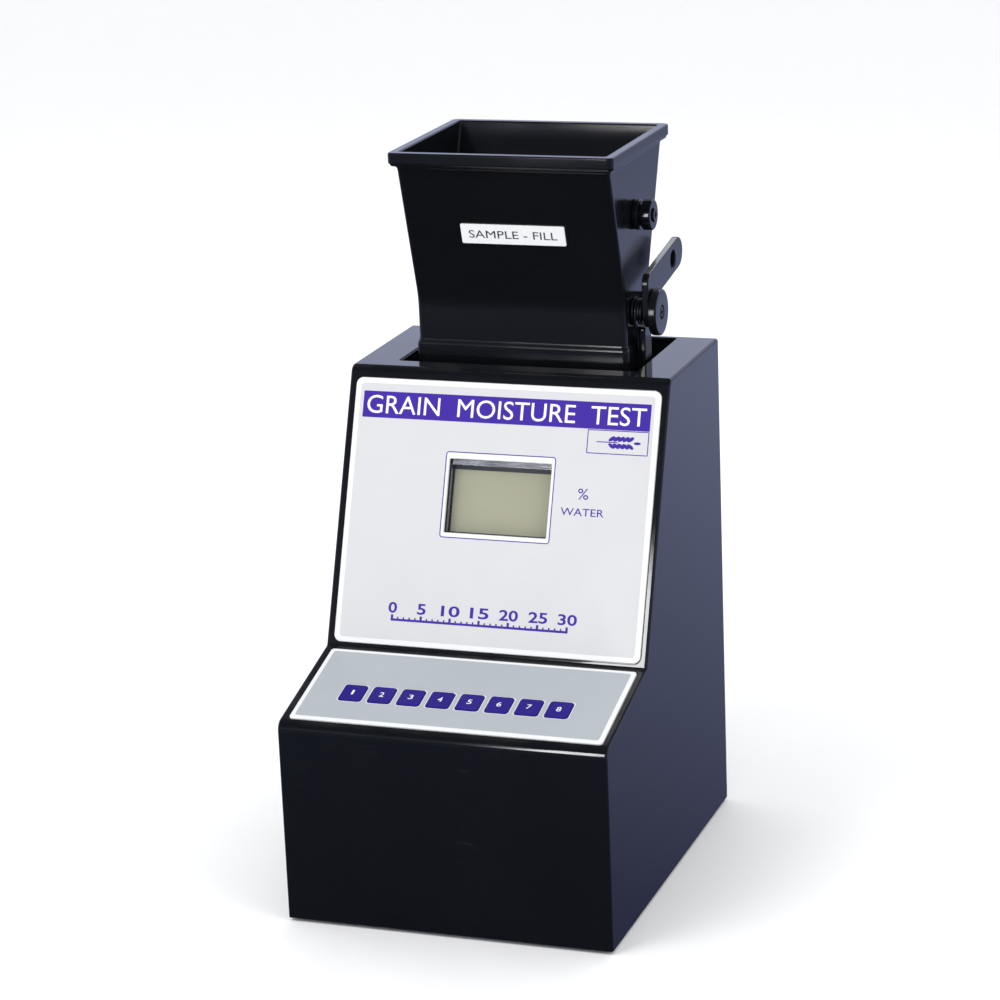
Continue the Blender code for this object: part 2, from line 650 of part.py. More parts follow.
def make_gate():
    """Everything that turns with the gate: flap, shaft, screws, lever and disc."""
    axis = make_frame("gate_axis", PIVOT_Y, PIVOT_Z)
    inner = HOPPER_HALF_WIDTH - HOPPER_WALL
    flap_outline = rounded_rect(-inner + 1.0, inner - 1.0, GATE_FRONT, GATE_REAR, 2.0, 2)
    flap = make_object("gate_flap", prism(flap_outline, 0.9, 2.4, "z"), "steel", axis, GATE_TILT)
    holes = [rod(x, 0, 1.5, -5, 5, "z", 12) for x in GATE_SCREW_X]
    combine(flap, merged(holes), parent=axis, turn=GATE_TILT)
    shaft_profile = [(SHAFT_START, 3.0), (SHAFT_START + 0.5, SHAFT_RADIUS), (SHAFT_END, SHAFT_RADIUS)]
    shaft = make_object("gate_shaft", turned(shaft_profile, 0, 0, "x"), "steel", axis)
    flat = box(-inner + 0.6, inner - 0.6, -8, 8, 0.6, 8)
    combine(shaft, flat, parent=axis, turn=GATE_TILT)
    holes = [rod(x, 0, 1.5, -1.8, 5, "z", 12) for x in GATE_SCREW_X]
    combine(shaft, merged(holes), parent=axis, turn=GATE_TILT)
    combine(shaft, rod(0, 0, 1.8, 65, 80, "x", 12), parent=axis)
    screw = [(-1.4, 1.2), (2.7, 1.2), (2.7, 2.7), (3.6, 2.7), (4.2, 2.0)]
    for number, x in enumerate(GATE_SCREW_X, 1):
        body = turned(screw, x, 0, "z", 12)
        make_object(f"gate_screw_{number}", body, "steel", axis, GATE_TILT)
    lever = make_object("release_lever", prism(lever_outline(), *LEVER_X, "x"), "hopper_enamel", axis)
    combine(lever, rod(0, 0, SHAFT_RADIUS + GAP, 60, 80, "x"), parent=axis)
    combine(lever, rod(*LEVER_HOLE, LEVER_HOLE_RADIUS, 60, 80, "x"), parent=axis)
    low, high = DISC_X
    bore = SHAFT_RADIUS + GAP
    web = (SHAFT_END + GAP, SHAFT_END + 1.3)
    disc = [
        (low, bore), (low, DISC_RADIUS - 0.6), (low + 0.6, DISC_RADIUS), (high - 0.8, DISC_RADIUS),
        (high, DISC_RADIUS - 0.8), (high, 3.9), (web[1], 3.9), (web[1], 1.8), (web[0], 1.8),
        (web[0], bore),
    ]
    make_object("lever_disc", turned(disc, 0, 0, "x", 32, closed=True), "hopper_enamel", axis)
    head = web[1] + GAP
    screw = [(66.0, 1.5), (head, 1.5), (head, 3.4), (head + 1.0, 3.4), (head + 1.5, 2.4)]
    make_object("lever_screw", turned(screw, 0, 0, "x", 12), "hopper_enamel", axis)


def spring_path():
    """Points along the return spring's wire: an anchored leg, the coil and a leg up the lever."""
    radius, turns, start_x, end_x = 6.7, 2.5, 63.3, 67.0
    points = [(start_x, -2.6, -20), (start_x, -3.0, -14), (start_x, -5.6, -9), (start_x, -radius, -4)]
    steps = int(turns * 16)
    for i in range(steps + 1):
        a = math.pi - 2 * math.pi * turns * i / steps
        x = start_x + (end_x - start_x) * i / steps
        points.append((x, radius * math.cos(a), radius * math.sin(a)))
    return points + [(end_x, radius, -4), (end_x, radius, -7)]


def make_spring():
    """The return spring as a swept wire with a hexagonal section."""
    curve = bpy.data.curves.new("return_spring", "CURVE")
    curve.dimensions = "3D"
    curve.bevel_depth = 0.6 * MM
    curve.bevel_resolution = 1
    curve.use_fill_caps = True
    points = spring_path()
    wire = curve.splines.new("POLY")
    wire.points.add(len(points) - 1)
    for target, (x, y, z) in zip(wire.points, points):
        target.co = (x * MM, (PIVOT_Y + y) * MM, (PIVOT_Z + z) * MM, 1)
    made = bpy.data.objects.new("return_spring", curve)
    bpy.context.scene.collection.objects.link(made)
    curve.materials.append(make_material("dark_metal"))


def make_hopper_fittings():
    """What stays on the hopper's side: bushes, spring, spring block, rest pin and lever stop."""
    face = HOPPER_HALF_WIDTH + GAP
    inside = HOPPER_HALF_WIDTH - HOPPER_WALL
    bore = SHAFT_RADIUS + GAP
    right = [
        (inside, bore), (inside, 5.2), (face, 5.2), (face, 8.0), (face + 1.2, 8.0),
        (face + 1.2, 5.2), (67.7, 5.2), (67.7, bore),
    ]
    left = [(-inside, bore), (-inside, 5.2), (-face, 5.2), (-face, 6.5), (-face - 0.8, 6.5)]
    left += [(-face - 0.8, bore)]
    make_object("bush_right", turned(right, PIVOT_Y, PIVOT_Z, "x", closed=True), "dark_metal")
    make_object("bush_left", turned(left, PIVOT_Y, PIVOT_Z, "x", closed=True), "dark_metal")
    block = rounded_rect(51.5, 63.8, THROAT_BOTTOM + 6, 298.2, 1.5, 2)
    make_object("spring_block", prism(block, face + SHOULDER, 67.3, "x"), "hopper_enamel")
    pin = [(face, 2.4), (71.3, 2.4), (71.8, 1.8)]
    make_object("lever_rest_pin", turned(pin, *REST_PIN, "x", 16), "steel")
    stop = [
        (face, 2.2), (face, 7.9), (face + 0.5, STOP_RADIUS), (64.1, STOP_RADIUS), (64.6, 6.0),
        (65.8, 6.0), (66.3, STOP_RADIUS), (71.1, STOP_RADIUS), (71.6, 7.9), (71.6, 2.2),
    ]
    make_object("lever_stop", turned(stop, *STOP_CENTRE, "x", 28, closed=True), "hopper_enamel")
    screw = [(face, 1.9), (71.9, 1.9), (71.9, 4.0), (72.2, 4.0), (72.6, 2.8)]
    make_object("lever_stop_screw", turned(screw, *STOP_CENTRE, "x", 16), "hopper_enamel")


# Rear fittings


def make_battery():
    """The battery tray behind the rear wall, four cells, and the door that hangs from its top."""
    wall_in = CASE_REAR - WALL - GAP
    x = DOOR_HALF_WIDTH + 3
    outer = [(-x, DOOR_BOTTOM - 2), (x, DOOR_BOTTOM - 2), (x, DOOR_TOP + 2), (-x, DOOR_TOP + 2)]
    tray = make_object("battery_tray", prism(outer, 86, wall_in, "y"), "black_plastic")
    combine(tray, box(-x + 2, x - 2, 88, wall_in + 5, DOOR_BOTTOM, DOOR_TOP))
    cell = [(-25.0, 6.6), (-24.4, 7.1), (23.4, 7.1), (24.0, 6.6), (24.0, 2.7), (25.2, 2.7)]
    for number in range(4):
        turn = 1 if number % 2 else -1
        profile = [(w * turn, radius) for w, radius in cell]
        z = DOOR_BOTTOM + 8.2 + number * 14.9
        body = turned(profile, 96.0, z, "x", 20)
        make_object(f"battery_{number + 1}", body, "battery_sleeve")
    hinge = make_frame("battery_door_hinge", DOOR_HINGE_Y, DOOR_HINGE_Z)
    barrel = [(-1.1, 0)] + arc(0, 0, 1.6, 150, 30, 6) + [(1.1, 0)]
    bottom = DOOR_BOTTOM + 0.5 - DOOR_HINGE_Z
    outline = barrel + [(1.3, -3), (1.3, bottom), (-1.1, bottom)]
    door = prism(outline, -DOOR_HALF_WIDTH + 0.5, DOOR_HALF_WIDTH - 0.5, "x")
    make_object("battery_door", door, "black_plastic", hinge)


def make_switch():
    """The power switch: a flanged body in the rear wall and a rocker that tips about Z."""
    outer = (SWITCH_X - 9.5, SWITCH_X + 9.5, SWITCH_Z - 6.5, SWITCH_Z + 6.5)
    flange = grown(outer, 1.6)
    inner = grown(outer, -1.2)
    levels = [(outer, CASE_REAR - 14), (outer, CASE_REAR + GAP), (flange, CASE_REAR + GAP)]
    levels += [(flange, CASE_REAR + 1.6), (inner, CASE_REAR + 1.6), (inner, CASE_REAR - 8)]
    loops = []
    for (x0, x1, z0, z1), y in levels:
        loops.append([(x0, y, z0), (x1, y, z0), (x1, y, z1), (x0, y, z1)])
    make_object("power_switch_body", loft(loops), "black_plastic")
    half = 7.2
    outline = [(-half, 0.0), (-half, 3.2), (0.0, 1.8), (half, 3.2), (half, 0.0)]
    outline += arc(0, 0, 3.0, 0, -180, 8)
    rings = [[(x, y, z) for x, y in outline] for z in (-4.6, 4.6)]
    rocker = make_object("power_rocker", loft(rings), "black_plastic")
    rocker.location = (SWITCH_X * MM, (CASE_REAR - 0.2) * MM, SWITCH_Z * MM)
    rocker.rotation_euler = (0, 0, ROCKER_TILT)


def make_socket():
    """The direct-current inlet: a flanged barrel with a centre contact."""
    outer_end = CASE_REAR + 1.8
    profile = [
        (CASE_REAR - 14, 5.0), (CASE_REAR + GAP, 5.0), (CASE_REAR + GAP, 6.6), (outer_end - 0.5, 6.6),
        (outer_end, 6.0), (outer_end, 2.9), (CASE_REAR - 8, 2.9), (CASE_REAR - 8, 1.0),
        (outer_end - 2.5, 1.0),
    ]
    make_object("dc_socket", turned(profile, SWITCH_X, SOCKET_Z, "y", 20), "black_plastic")


def main():
    clear_scene()
    keypad = make_frame("keypad_slope", CASE_FRONT, FRONT_WALL_TOP, KEYPAD_SLOPE)
    display = make_frame("display_slope", *CREASE, DISPLAY_SLOPE)
    make_case(keypad, display)
    make_base()
    make_main_board()
    make_keypad(keypad)
    make_display(display)
    make_well()
    make_cell()
    make_hopper()
    make_gate()
    make_spring()
    make_hopper_fittings()
    make_battery()
    make_switch()
    make_socket()


main()
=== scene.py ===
"""Looks of the grain moisture meter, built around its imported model.

Millimetres are used below and become metres as each mesh is made. X runs across the
front from left to right, Y from front to rear and Z up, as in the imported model.
"""

import json
import math

import bmesh
import bpy
from mathutils import Matrix, Vector


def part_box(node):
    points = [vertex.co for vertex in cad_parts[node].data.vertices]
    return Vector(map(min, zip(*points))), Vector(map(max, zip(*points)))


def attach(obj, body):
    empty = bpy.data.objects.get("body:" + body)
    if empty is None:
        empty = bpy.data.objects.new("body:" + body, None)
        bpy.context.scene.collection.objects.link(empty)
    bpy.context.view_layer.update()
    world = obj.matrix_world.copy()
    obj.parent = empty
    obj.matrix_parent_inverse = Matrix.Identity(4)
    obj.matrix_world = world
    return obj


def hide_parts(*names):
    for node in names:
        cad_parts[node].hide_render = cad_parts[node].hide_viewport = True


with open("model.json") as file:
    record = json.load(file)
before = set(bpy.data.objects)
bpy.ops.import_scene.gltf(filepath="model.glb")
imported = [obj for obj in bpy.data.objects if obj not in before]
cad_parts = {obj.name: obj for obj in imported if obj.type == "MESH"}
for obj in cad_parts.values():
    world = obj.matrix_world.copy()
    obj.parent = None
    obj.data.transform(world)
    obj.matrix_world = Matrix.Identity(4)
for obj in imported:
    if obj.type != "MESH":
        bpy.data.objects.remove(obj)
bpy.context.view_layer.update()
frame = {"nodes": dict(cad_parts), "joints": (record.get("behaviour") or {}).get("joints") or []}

MM = 0.001
METRE = 1000.0
GAP = 0.3
CUT_REACH = 2.0
SHARP_ANGLE = math.radians(32)

# Case
CORNER_RADII = (0, 6.5, 1.5, 5.0, 2.0, 0)
SIDE_EDGE_RADIUS = 1.5
WALL = 3.0
POCKET = 1.0
POCKET_LIP = 0.3
PANEL_PROUD = 0.8
PANEL_EDGE = 0.6
OPENING_LIP = 0.5
POST = 5.0
POST_TOP = 36
POST_ABOVE_FOOT = 2.6
POST_BORE = 1.8
POST_BORE_TOP = 24

# Printed layers: their thickness, and how far they stand off what they are printed on
INK = 0.05
INK_GAP = 0.01

# Display, measured up its slope
DISPLAY_CORNER = 4.0
BEZEL_MARGIN = 5.0
VIEW_INSET = (0.4, 0.4, 0.5, 3.0)
DISPLAY_BORDER = 3.1
LCD_OUTLINE = (-31.3, 31.8, 63.7, 110.8)
HEADER = (-82.9, 83.5, 127.6, 142.3)
EMBLEM = (48.7, 83.4, 114.2, 127.3)
PERCENT = (46.0, 52.0, 88.8, 94.8)
PERCENT_WORD = (37.0, 61.5, 79.8, 83.9)
SCALE = (-55.6, 46.7, 15.9, 25.4)
SCALE_RULE = 1.3
SCALE_STEPS = 30

# Keypad
KEYPAD_CORNER = 2.0
KEYPAD_BORDER = 2.6
KEY_FLANGE = 1.0
KEY_RING = 0.9
KEY_COUNT = 8

# Hopper
HOPPER_WALL = 2.0
RIM_OVERHANG = 3.5
RIM_HEIGHT = 6.5
RIM_FLARE_DROP = 3.5
RIM_FLARE = 2.5
BEND_ABOVE_PIVOT = 6.5
BEND_REACH = 6
THROAT_FRONT_IN = 23.5
THROAT_REAR_IN = 33.5
SHOULDER_BELOW_PIVOT = 18.0
SHOULDER = 1.0
SHOULDER_ROLL = 3.6
HOPPER_CORNER = 3.2

# Lever, from its pivot
LEVER_RISE = 9.0
LEVER_HALF_HEIGHT = 8.6
LEVER_END = (51.5, 22.4)
LEVER_HOLE = (40.5, 20.7)
LEVER_HOLE_RADIUS = 4.9
HUB = 8.6
SHAFT_RADIUS = 3.5
SHAFT_BORE = SHAFT_RADIUS + GAP
DISC_RADIUS = 12.9
DISC_RECESS = 3.9
STOP_NECK = (3.3, 4.9)
STOP_NECK_RADIUS = 6.0
BUSH_RADIUS = 5.2
BUSH_FLANGE = 1.2
SPRING_RADIUS = 6.7
SPRING_TURNS = 2.5
SPRING_X = (63.3, 67.0)
SPRING_WIRE = 0.6

# Rocker, across its tipping axis
ROCKER_HALF = 7.2
ROCKER_END = 3.2
ROCKER_DIP = 1.8
ROCKER_REST = 8


# Outlines


def arc(cu, cv, radius, start, end, steps):
    """Points on an arc, both ends included, with the angles in degrees."""
    angles = [math.radians(start + (end - start) * i / steps) for i in range(steps + 1)]
    return [(cu + radius * math.cos(a), cv + radius * math.sin(a)) for a in angles]


def circle(cu, cv, radius, sides):
    return arc(cu, cv, radius, 0, 360 - 360 / sides, sides - 1)


def rounded_rect(rect, radius, steps=8):
    u0, u1, v0, v1 = rect
    return (
        arc(u1 - radius, v1 - radius, radius, 0, 90, steps)
        + arc(u0 + radius, v1 - radius, radius, 90, 180, steps)
        + arc(u0 + radius, v0 + radius, radius, 180, 270, steps)
        + arc(u1 - radius, v0 + radius, radius, 270, 360, steps)
    )


def grown(rect, by):
    return (rect[0] - by, rect[1] + by, rect[2] - by, rect[3] + by)


def rounded_polygon(corners, radii, steps):
    """The polygon with each corner turned into an arc; a corner with no radius stays a point."""
    points = []
    count = len(corners)
    for i, (here, radius) in enumerate(zip(corners, radii)):
        if radius == 0:
            points.append(here)
            continue
        before = corners[i - 1]
        after = corners[(i + 1) % count]
        back = math.atan2(before[1] - here[1], before[0] - here[0])
        onward = math.atan2(after[1] - here[1], after[0] - here[0])
        half = math.remainder(onward - back, 2 * math.pi) / 2
        reach = radius / abs(math.sin(half))
        cu = here[0] + reach * math.cos(back + half)
        cv = here[1] + reach * math.sin(back + half)
        sweep = math.copysign(math.pi - 2 * abs(half), half)
        middle = back + half + math.pi
        for k in range(steps + 1):
            a = middle + sweep * (0.5 - k / steps)
            points.append((cu + radius * math.cos(a), cv + radius * math.sin(a)))
    return points


def offset_outline(points, by):
    """The closed outline moved in by a small distance, or out where by is negative."""
    area = 0.0
    for (u0, v0), (u1, v1) in zip(points, points[1:] + points[:1]):
        area += u0 * v1 - u1 * v0
    side = math.copysign(1.0, area)
    moved = []
    for i, here in enumerate(points):
        before = points[i - 1]
        after = points[(i + 1) % len(points)]
        along_in = Vector((here[0] - before[0], here[1] - before[1])).normalized()
        along_out = Vector((after[0] - here[0], after[1] - here[1])).normalized()
        inward = Vector((-along_in.y - along_out.y, along_in.x + along_out.x)) * side
        inward.normalize()
        slant = max(0.35, inward.dot(Vector((-along_out.y, along_out.x)) * side))
        moved.append((here[0] + inward.x * by / slant, here[1] + inward.y * by / slant))
    return moved


def line_meet(p, p_dir, q, q_dir):
    """Where two lines cross, each given by a point and a direction."""
    det = p_dir[0] * q_dir[1] - p_dir[1] * q_dir[0]
    t = ((q[0] - p[0]) * q_dir[1] - (q[1] - p[1]) * q_dir[0]) / det
    return (p[0] + p_dir[0] * t, p[1] + p_dir[1] * t)


# Solids


def place(u, v, w, axis):
    """A point of an outline (u, v) at height w along the named axis."""
    return {"x": (w, u, v), "y": (u, w, v), "z": (u, v, w)}[axis]


def loft(rings, closed=False):
    """A body through rings of points, capped at its two ends or closed on itself."""
    bm = bmesh.new()
    rows = [[bm.verts.new(point) for point in ring] for ring in rings]
    pairs = list(zip(rows, rows[1:]))
    if closed:
        pairs.append((rows[-1], rows[0]))
    else:
        bm.faces.new(rows[0])
        bm.faces.new(rows[-1])
    for low, high in pairs:
        for i in range(len(low)):
            j = (i + 1) % len(low)
            bm.faces.new((low[i], low[j], high[j], high[i]))
    bmesh.ops.recalc_face_normals(bm, faces=bm.faces)
    return bm


def stacked(levels, axis="z", closed=False):
    """A body through outlines, each given with its height along the axis."""
    return loft([[place(u, v, w, axis) for u, v in outline] for outline, w in levels], closed)


def prism(outline, low, high, axis="z"):
    return stacked([(outline, low), (outline, high)], axis)


def band(outer, inner, low, high):
    """A ring between two outlines."""
    return stacked([(outer, low), (outer, high), (inner, high), (inner, low)], closed=True)


def quarter(radius, steps=4):
    """Pairs (inset, drop) along a quarter round, from the side of a body to its top."""
    angles = [math.radians(90 * i / steps) for i in range(steps + 1)]
    return [(radius * (1 - math.cos(a)), radius * (1 - math.sin(a))) for a in angles]


def inset_stack(outline, levels, axis):
    """A body whose outline is moved in at each level (inset, height)."""
    moved = [(offset_outline(outline, inset) if inset else outline, w) for inset, w in levels]
    return stacked(moved, axis)


def soft_prism(outline, low, high, axis="z", low_edge=0.0, high_edge=0.5):
    """A prism whose end edges are rounded by the given radii; its low end may stay sharp."""
    levels = [(0, low)]
    if low_edge:
        levels = [(inset, low + drop) for inset, drop in quarter(low_edge)[::-1]]
    levels += [(inset, high - drop) for inset, drop in quarter(high_edge)]
    return inset_stack(outline, levels, axis)


def cutter(outline, low, high, axis="z", low_lip=0.0, high_lip=0.0):
    """A cutter through a wall from low to high, flared by a rounded lip where it leaves it."""
    levels = [(-low_lip, low - CUT_REACH)]
    if low_lip:
        levels += [(inset - low_lip, low + low_lip - drop) for inset, drop in quarter(low_lip)]
    if high_lip:
        levels += [(inset - high_lip, high - high_lip + drop) for inset, drop in quarter(high_lip)[::-1]]
    levels.append((-high_lip, high + CUT_REACH))
    return inset_stack(outline, levels, axis)


def plain_rect(u0, u1, v0, v1):
    return [(u0, v0), (u1, v0), (u1, v1), (u0, v1)]


def turned(corners, at, axis, sides=64, closed=False):
    """A turned body of corners (height, radius, rounding); a closed outline leaves a bore."""
    profile = rounded_polygon([c[:2] for c in corners], [c[2] for c in corners], 4)
    return stacked([(circle(*at, radius, sides), w) for w, radius in profile], axis, closed)


def merged(parts):
    """Several separate bodies in one mesh."""
    whole = bmesh.new()
    for part in parts:
        mesh = bpy.data.meshes.new("piece")
        part.to_mesh(mesh)
        part.free()
        whole.from_mesh(mesh)
        bpy.data.meshes.remove(mesh)
    return whole


def linked(name, data):
    """A new object in the scene."""
    made = bpy.data.objects.new(name, data)
    bpy.context.scene.collection.objects.link(made)
    return made


def evaluated_mesh(source):
    """A new mesh of an object as its modifiers or its curve make it."""
    bpy.context.view_layer.update()
    graph = bpy.context.evaluated_depsgraph_get()
    return bpy.data.meshes.new_from_object(source.evaluated_get(graph))


def link_mesh(name, bm, matrix=None):
    """A linked object in metres from a mesh in millimetres, placed by a slope's matrix."""
    if matrix is not None:
        bmesh.ops.transform(bm, matrix=matrix, verts=bm.verts)
    bmesh.ops.transform(bm, matrix=Matrix.Scale(MM, 4), verts=bm.verts)
    mesh = bpy.data.meshes.new(name)
    bm.to_mesh(mesh)
    bm.free()
    return linked(name, mesh)


def cut(bm, matrix=None):
    """A step for carve that takes a mesh away."""
    return ("DIFFERENCE", bm, matrix)


def carve(target, steps):
    """Applies cuts and unions in turn: each step is (operation, mesh, matrix)."""
    tools = []
    for operation, bm, matrix in steps:
        tools.append(link_mesh(f"{target.name}_tool", bm, matrix))
        step = target.modifiers.new("carve", "BOOLEAN")
        step.operation = operation
        step.solver = "EXACT"
        step.object = tools[-1]
    result = evaluated_mesh(target)
    target.modifiers.clear()
    old = target.data
    target.data = result
    result.name = target.name
    bpy.data.meshes.remove(old)
    for tool in tools:
        mesh = tool.data
        bpy.data.objects.remove(tool)
        bpy.data.meshes.remove(mesh)


def shade(target, weighted=True):
    """Smooth shading with sharp edges, and normals that keep flat faces flat."""
    target.data.shade_smooth()
    target.data.set_sharp_from_angle(angle=SHARP_ANGLE)
    if weighted:
        normals = target.modifiers.new("normals", "WEIGHTED_NORMAL")
        normals.keep_sharp = True
        normals.weight = 100


def finish_piece(made, material, body, nodes=(), weighted=True):
    """Gives a piece its material, its body and the nodes that it stands for."""
    shade(made, weighted)
    made.data.materials.clear()
    made.data.materials.append(material)
    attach(made, body)
    if nodes:
        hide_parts(*nodes)
    return made


def piece(name, bm, material, body, slot, nodes=(), matrix=None, cuts=(), weighted=True):
    made = link_mesh(name, bm, matrix)
    if cuts:
        carve(made, cuts)
    return finish_piece(made, material, body, nodes, weighted)


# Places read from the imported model


def node_box(node):
    """A node's lowest and highest corners in millimetres."""
    low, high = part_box(node)
    return low * METRE, high * METRE
def node_centre(node, axes):
    """The middle of a node's box along the named axes."""
    low, high = node_box(node)
    return tuple((getattr(low, axis) + getattr(high, axis)) / 2 for axis in axes)


def joint_place(name):
    """A joint's place in millimetres."""
    joint = next(j for j in frame["joints"] if j["name"] == name)
    return [value * METRE for value in joint["pos_m"]]
def node_rect(node, matrix):
    """A node's extent (x0, x1, s0, s1) along a slope, and its lowest and highest points off it."""
    to_slope = matrix.inverted()
    points = [to_slope @ (v.co * METRE) for v in frame["nodes"][node].data.vertices]
    xs, ss, ns = zip(*points)
    return (min(xs), max(xs), min(ss), max(ss)), min(ns), max(ns)


def front_plane(node):
    """The outward normal of a plate's widest front side and a point on it, both in Y and Z."""
    mesh = frame["nodes"][node].data
    facing = [p for p in mesh.polygons if p.normal.y < -0.1]
    widest = max(facing, key=lambda p: p.area)
    normal = (widest.normal.y, widest.normal.z)
    return normal, (widest.center.y * METRE, widest.center.z * METRE)


def slope_matrix(normal, origin):
    """Local X across, Y up the slope and Z out of it."""
    ny, nz = normal
    matrix = Matrix(((1, 0, 0), (0, nz, ny), (0, -ny, nz))).to_4x4()
    matrix.translation = (0, *origin)
    return matrix


def case_layout():
    """The case's side outline corners in Y and Z, and the matrices of its two slopes."""
    low, high = node_box("case_shell")
    lines = [((low.y, low.z), (0, 1))]
    normals = []
    for panel in ("keypad_panel", "display_panel"):
        normal, point = front_plane(panel)
        on_case = (point[0] - normal[0] * PANEL_PROUD, point[1] - normal[1] * PANEL_PROUD)
        lines.append((on_case, (normal[1], -normal[0])))
        normals.append(normal)
    lines += [((low.y, high.z), (1, 0)), ((high.y, high.z), (0, -1))]
    corners = [(low.y, low.z)]
    for one, two in zip(lines, lines[1:]):
        corners.append(line_meet(*one, *two))
    corners.append((high.y, low.z))
    return corners, [slope_matrix(n, c) for n, c in zip(normals, corners[1:3])]


CORNERS, (KEYPAD, DISPLAY) = case_layout()
CASE_LOW, CASE_HIGH = node_box("case_shell")
HOPPER_LOW, HOPPER_HIGH = node_box("hopper_body")
PIVOT = joint_place("gate_turn")
SHAFT_AT = (PIVOT[1], PIVOT[2])
SCREWS_AT = [node_centre(f"foot_screw_{number}", "xy") for number in range(1, 5)]


# Materials


def plug(tree, socket, value):
    """Links a socket to another one, or sets it to a constant."""
    if isinstance(value, bpy.types.NodeSocket):
        tree.links.new(value, socket)
    else:
        socket.default_value = value


def add_node(tree, kind, **inputs):
    """A shader node with its named inputs linked or set."""
    made = tree.nodes.new("ShaderNode" + kind)
    for name, value in inputs.items():
        plug(tree, made.inputs[name.replace("_", " ")], value)
    return made


class Finish:
    """A procedural material: two mottled tones, smudged roughness, and bump from fine noise."""

    def __init__(self, name, tones, roughness, metallic=0.0, mottle=14.0, smudge=30.0, specular=0.5):
        self.material = bpy.data.materials.new(name)
        self.material.use_nodes = True
        self.tree = self.material.node_tree
        self.shader = self.tree.nodes["Principled BSDF"].inputs
        self.shader["Metallic"].default_value = metallic
        self.shader["Specular IOR Level"].default_value = specular
        self.coords = add_node(self.tree, "TexCoord").outputs
        self.height = None
        self.colour = self.blend(self.noise(mottle), *tones)
        self.rough = self.range(self.noise(smudge, 4.0), 0.35, 0.68, *roughness)

    def noise(self, size, detail=2.0, stretch=(1, 1, 1)):
        """Noise whose features are about size millimetres across."""
        at = add_node(self.tree, "Mapping", Vector=self.coords["Object"], Scale=stretch).outputs["Vector"]
        made = add_node(self.tree, "TexNoise", Vector=at, Scale=METRE / size, Detail=detail)
        return made.outputs["Fac"]

    def cells(self, size):
        """Rounded cells about size millimetres across, for a moulded leather-like grain."""
        made = add_node(self.tree, "TexVoronoi", Vector=self.coords["Object"], Scale=METRE / size)
        made.feature = "SMOOTH_F1"
        return made.outputs["Distance"]

    def range(self, value, low, high, out_low, out_high):
        """A value between low and high, eased into another range."""
        made = add_node(self.tree, "MapRange", Value=value, From_Min=low, From_Max=high)
        made.inputs["To Min"].default_value = out_low
        made.inputs["To Max"].default_value = out_high
        made.interpolation_type = "SMOOTHSTEP"
        return made.outputs["Result"]

    def axis(self, name, output="Object"):
        """The object's own coordinate, in metres, or its surface normal, along one axis."""
        return add_node(self.tree, "SeparateXYZ", Vector=self.coords[output]).outputs[name]

    def maths(self, operation, one, two):
        made = add_node(self.tree, "Math")
        made.operation = operation
        plug(self.tree, made.inputs[0], one)
        plug(self.tree, made.inputs[1], two)
        return made.outputs["Value"]

    def blend(self, factor, one, two):
        """A colour between two others, each a colour or a socket."""
        made = add_node(self.tree, "Mix", Factor=factor)
        made.data_type = "RGBA"
        for socket, value in ((made.inputs[6], one), (made.inputs[7], two)):
            plug(self.tree, socket, (*value, 1.0) if isinstance(value, tuple) else value)
        return made.outputs[2]

    def tint(self, mask, colour, roughness=None):
        """Turns the colour, and the roughness if one is given, to another where the mask is 1."""
        self.colour = self.blend(mask, self.colour, colour)
        if roughness is not None:
            gap = self.maths("SUBTRACT", roughness, self.rough)
            self.rough = self.maths("ADD", self.rough, self.maths("MULTIPLY", gap, mask))

    def bump(self, height, depth):
        """Adds relief of the given depth in millimetres."""
        made = add_node(self.tree, "Bump", Height=height, Distance=depth * MM, Strength=1.0)
        if self.height is not None:
            self.tree.links.new(self.height, made.inputs["Normal"])
        self.height = made.outputs["Normal"]

    def dust(self, amount):
        """A thin patchy film of dust on what faces up."""
        upward = self.range(self.axis("Z", "Normal"), 0.55, 0.98, 0.0, amount)
        patches = self.range(self.noise(22.0, 6.0), 0.40, 0.75, 0.15, 1.0)
        self.tint(self.maths("MULTIPLY", upward, patches), (0.30, 0.29, 0.27), 0.5)

    def scratches(self, amount, colour):
        """Sparse fine hairlines."""
        lines = self.range(self.noise(1.1, 1.0, (0.12, 1, 1)), 0.70, 0.76, 0.0, amount)
        patches = self.range(self.noise(35.0), 0.45, 0.62, 0.0, 1.0)
        self.tint(self.maths("MULTIPLY", lines, patches), colour, 0.45)

    def done(self):
        """Links what was built to the shader and returns the material."""
        ends = (("Base Color", self.colour), ("Roughness", self.rough), ("Normal", self.height))
        for name, socket in ends:
            self.tree.links.new(socket, self.shader[name])
        return self.material


def gloss_black(name, tones, roughness, dust):
    """Sprayed and polished black: faint orange peel, a slow swell and a few hairlines."""
    made = Finish(name, tones, roughness, mottle=40.0, smudge=45.0)
    made.dust(dust)
    made.scratches(0.05, (0.12, 0.12, 0.13))
    made.bump(made.noise(60.0, 1.0), 0.035)
    made.bump(made.noise(2.2, 1.0), 0.0022)
    return made.done()


def printed(name, tones, roughness=(0.34, 0.46), grain=0.6, specular=0.5):
    """Satin printed film with a very fine tooth."""
    made = Finish(name, tones, roughness, mottle=25.0, specular=specular)
    made.bump(made.noise(grain, 3.0), 0.004)
    made.bump(made.noise(40.0, 1.0), 0.03)
    return made.done()


def brushed(name, tones, roughness):
    """Metal with fine parallel brush lines along X."""
    made = Finish(name, tones, roughness, metallic=1.0, mottle=30.0, smudge=45.0)
    lines = made.noise(0.45, 3.0, (0.04, 1, 1))
    made.rough = made.maths("ADD", made.rough, made.range(lines, 0.3, 0.7, -0.05, 0.06))
    made.bump(lines, 0.004)
    return made.done()


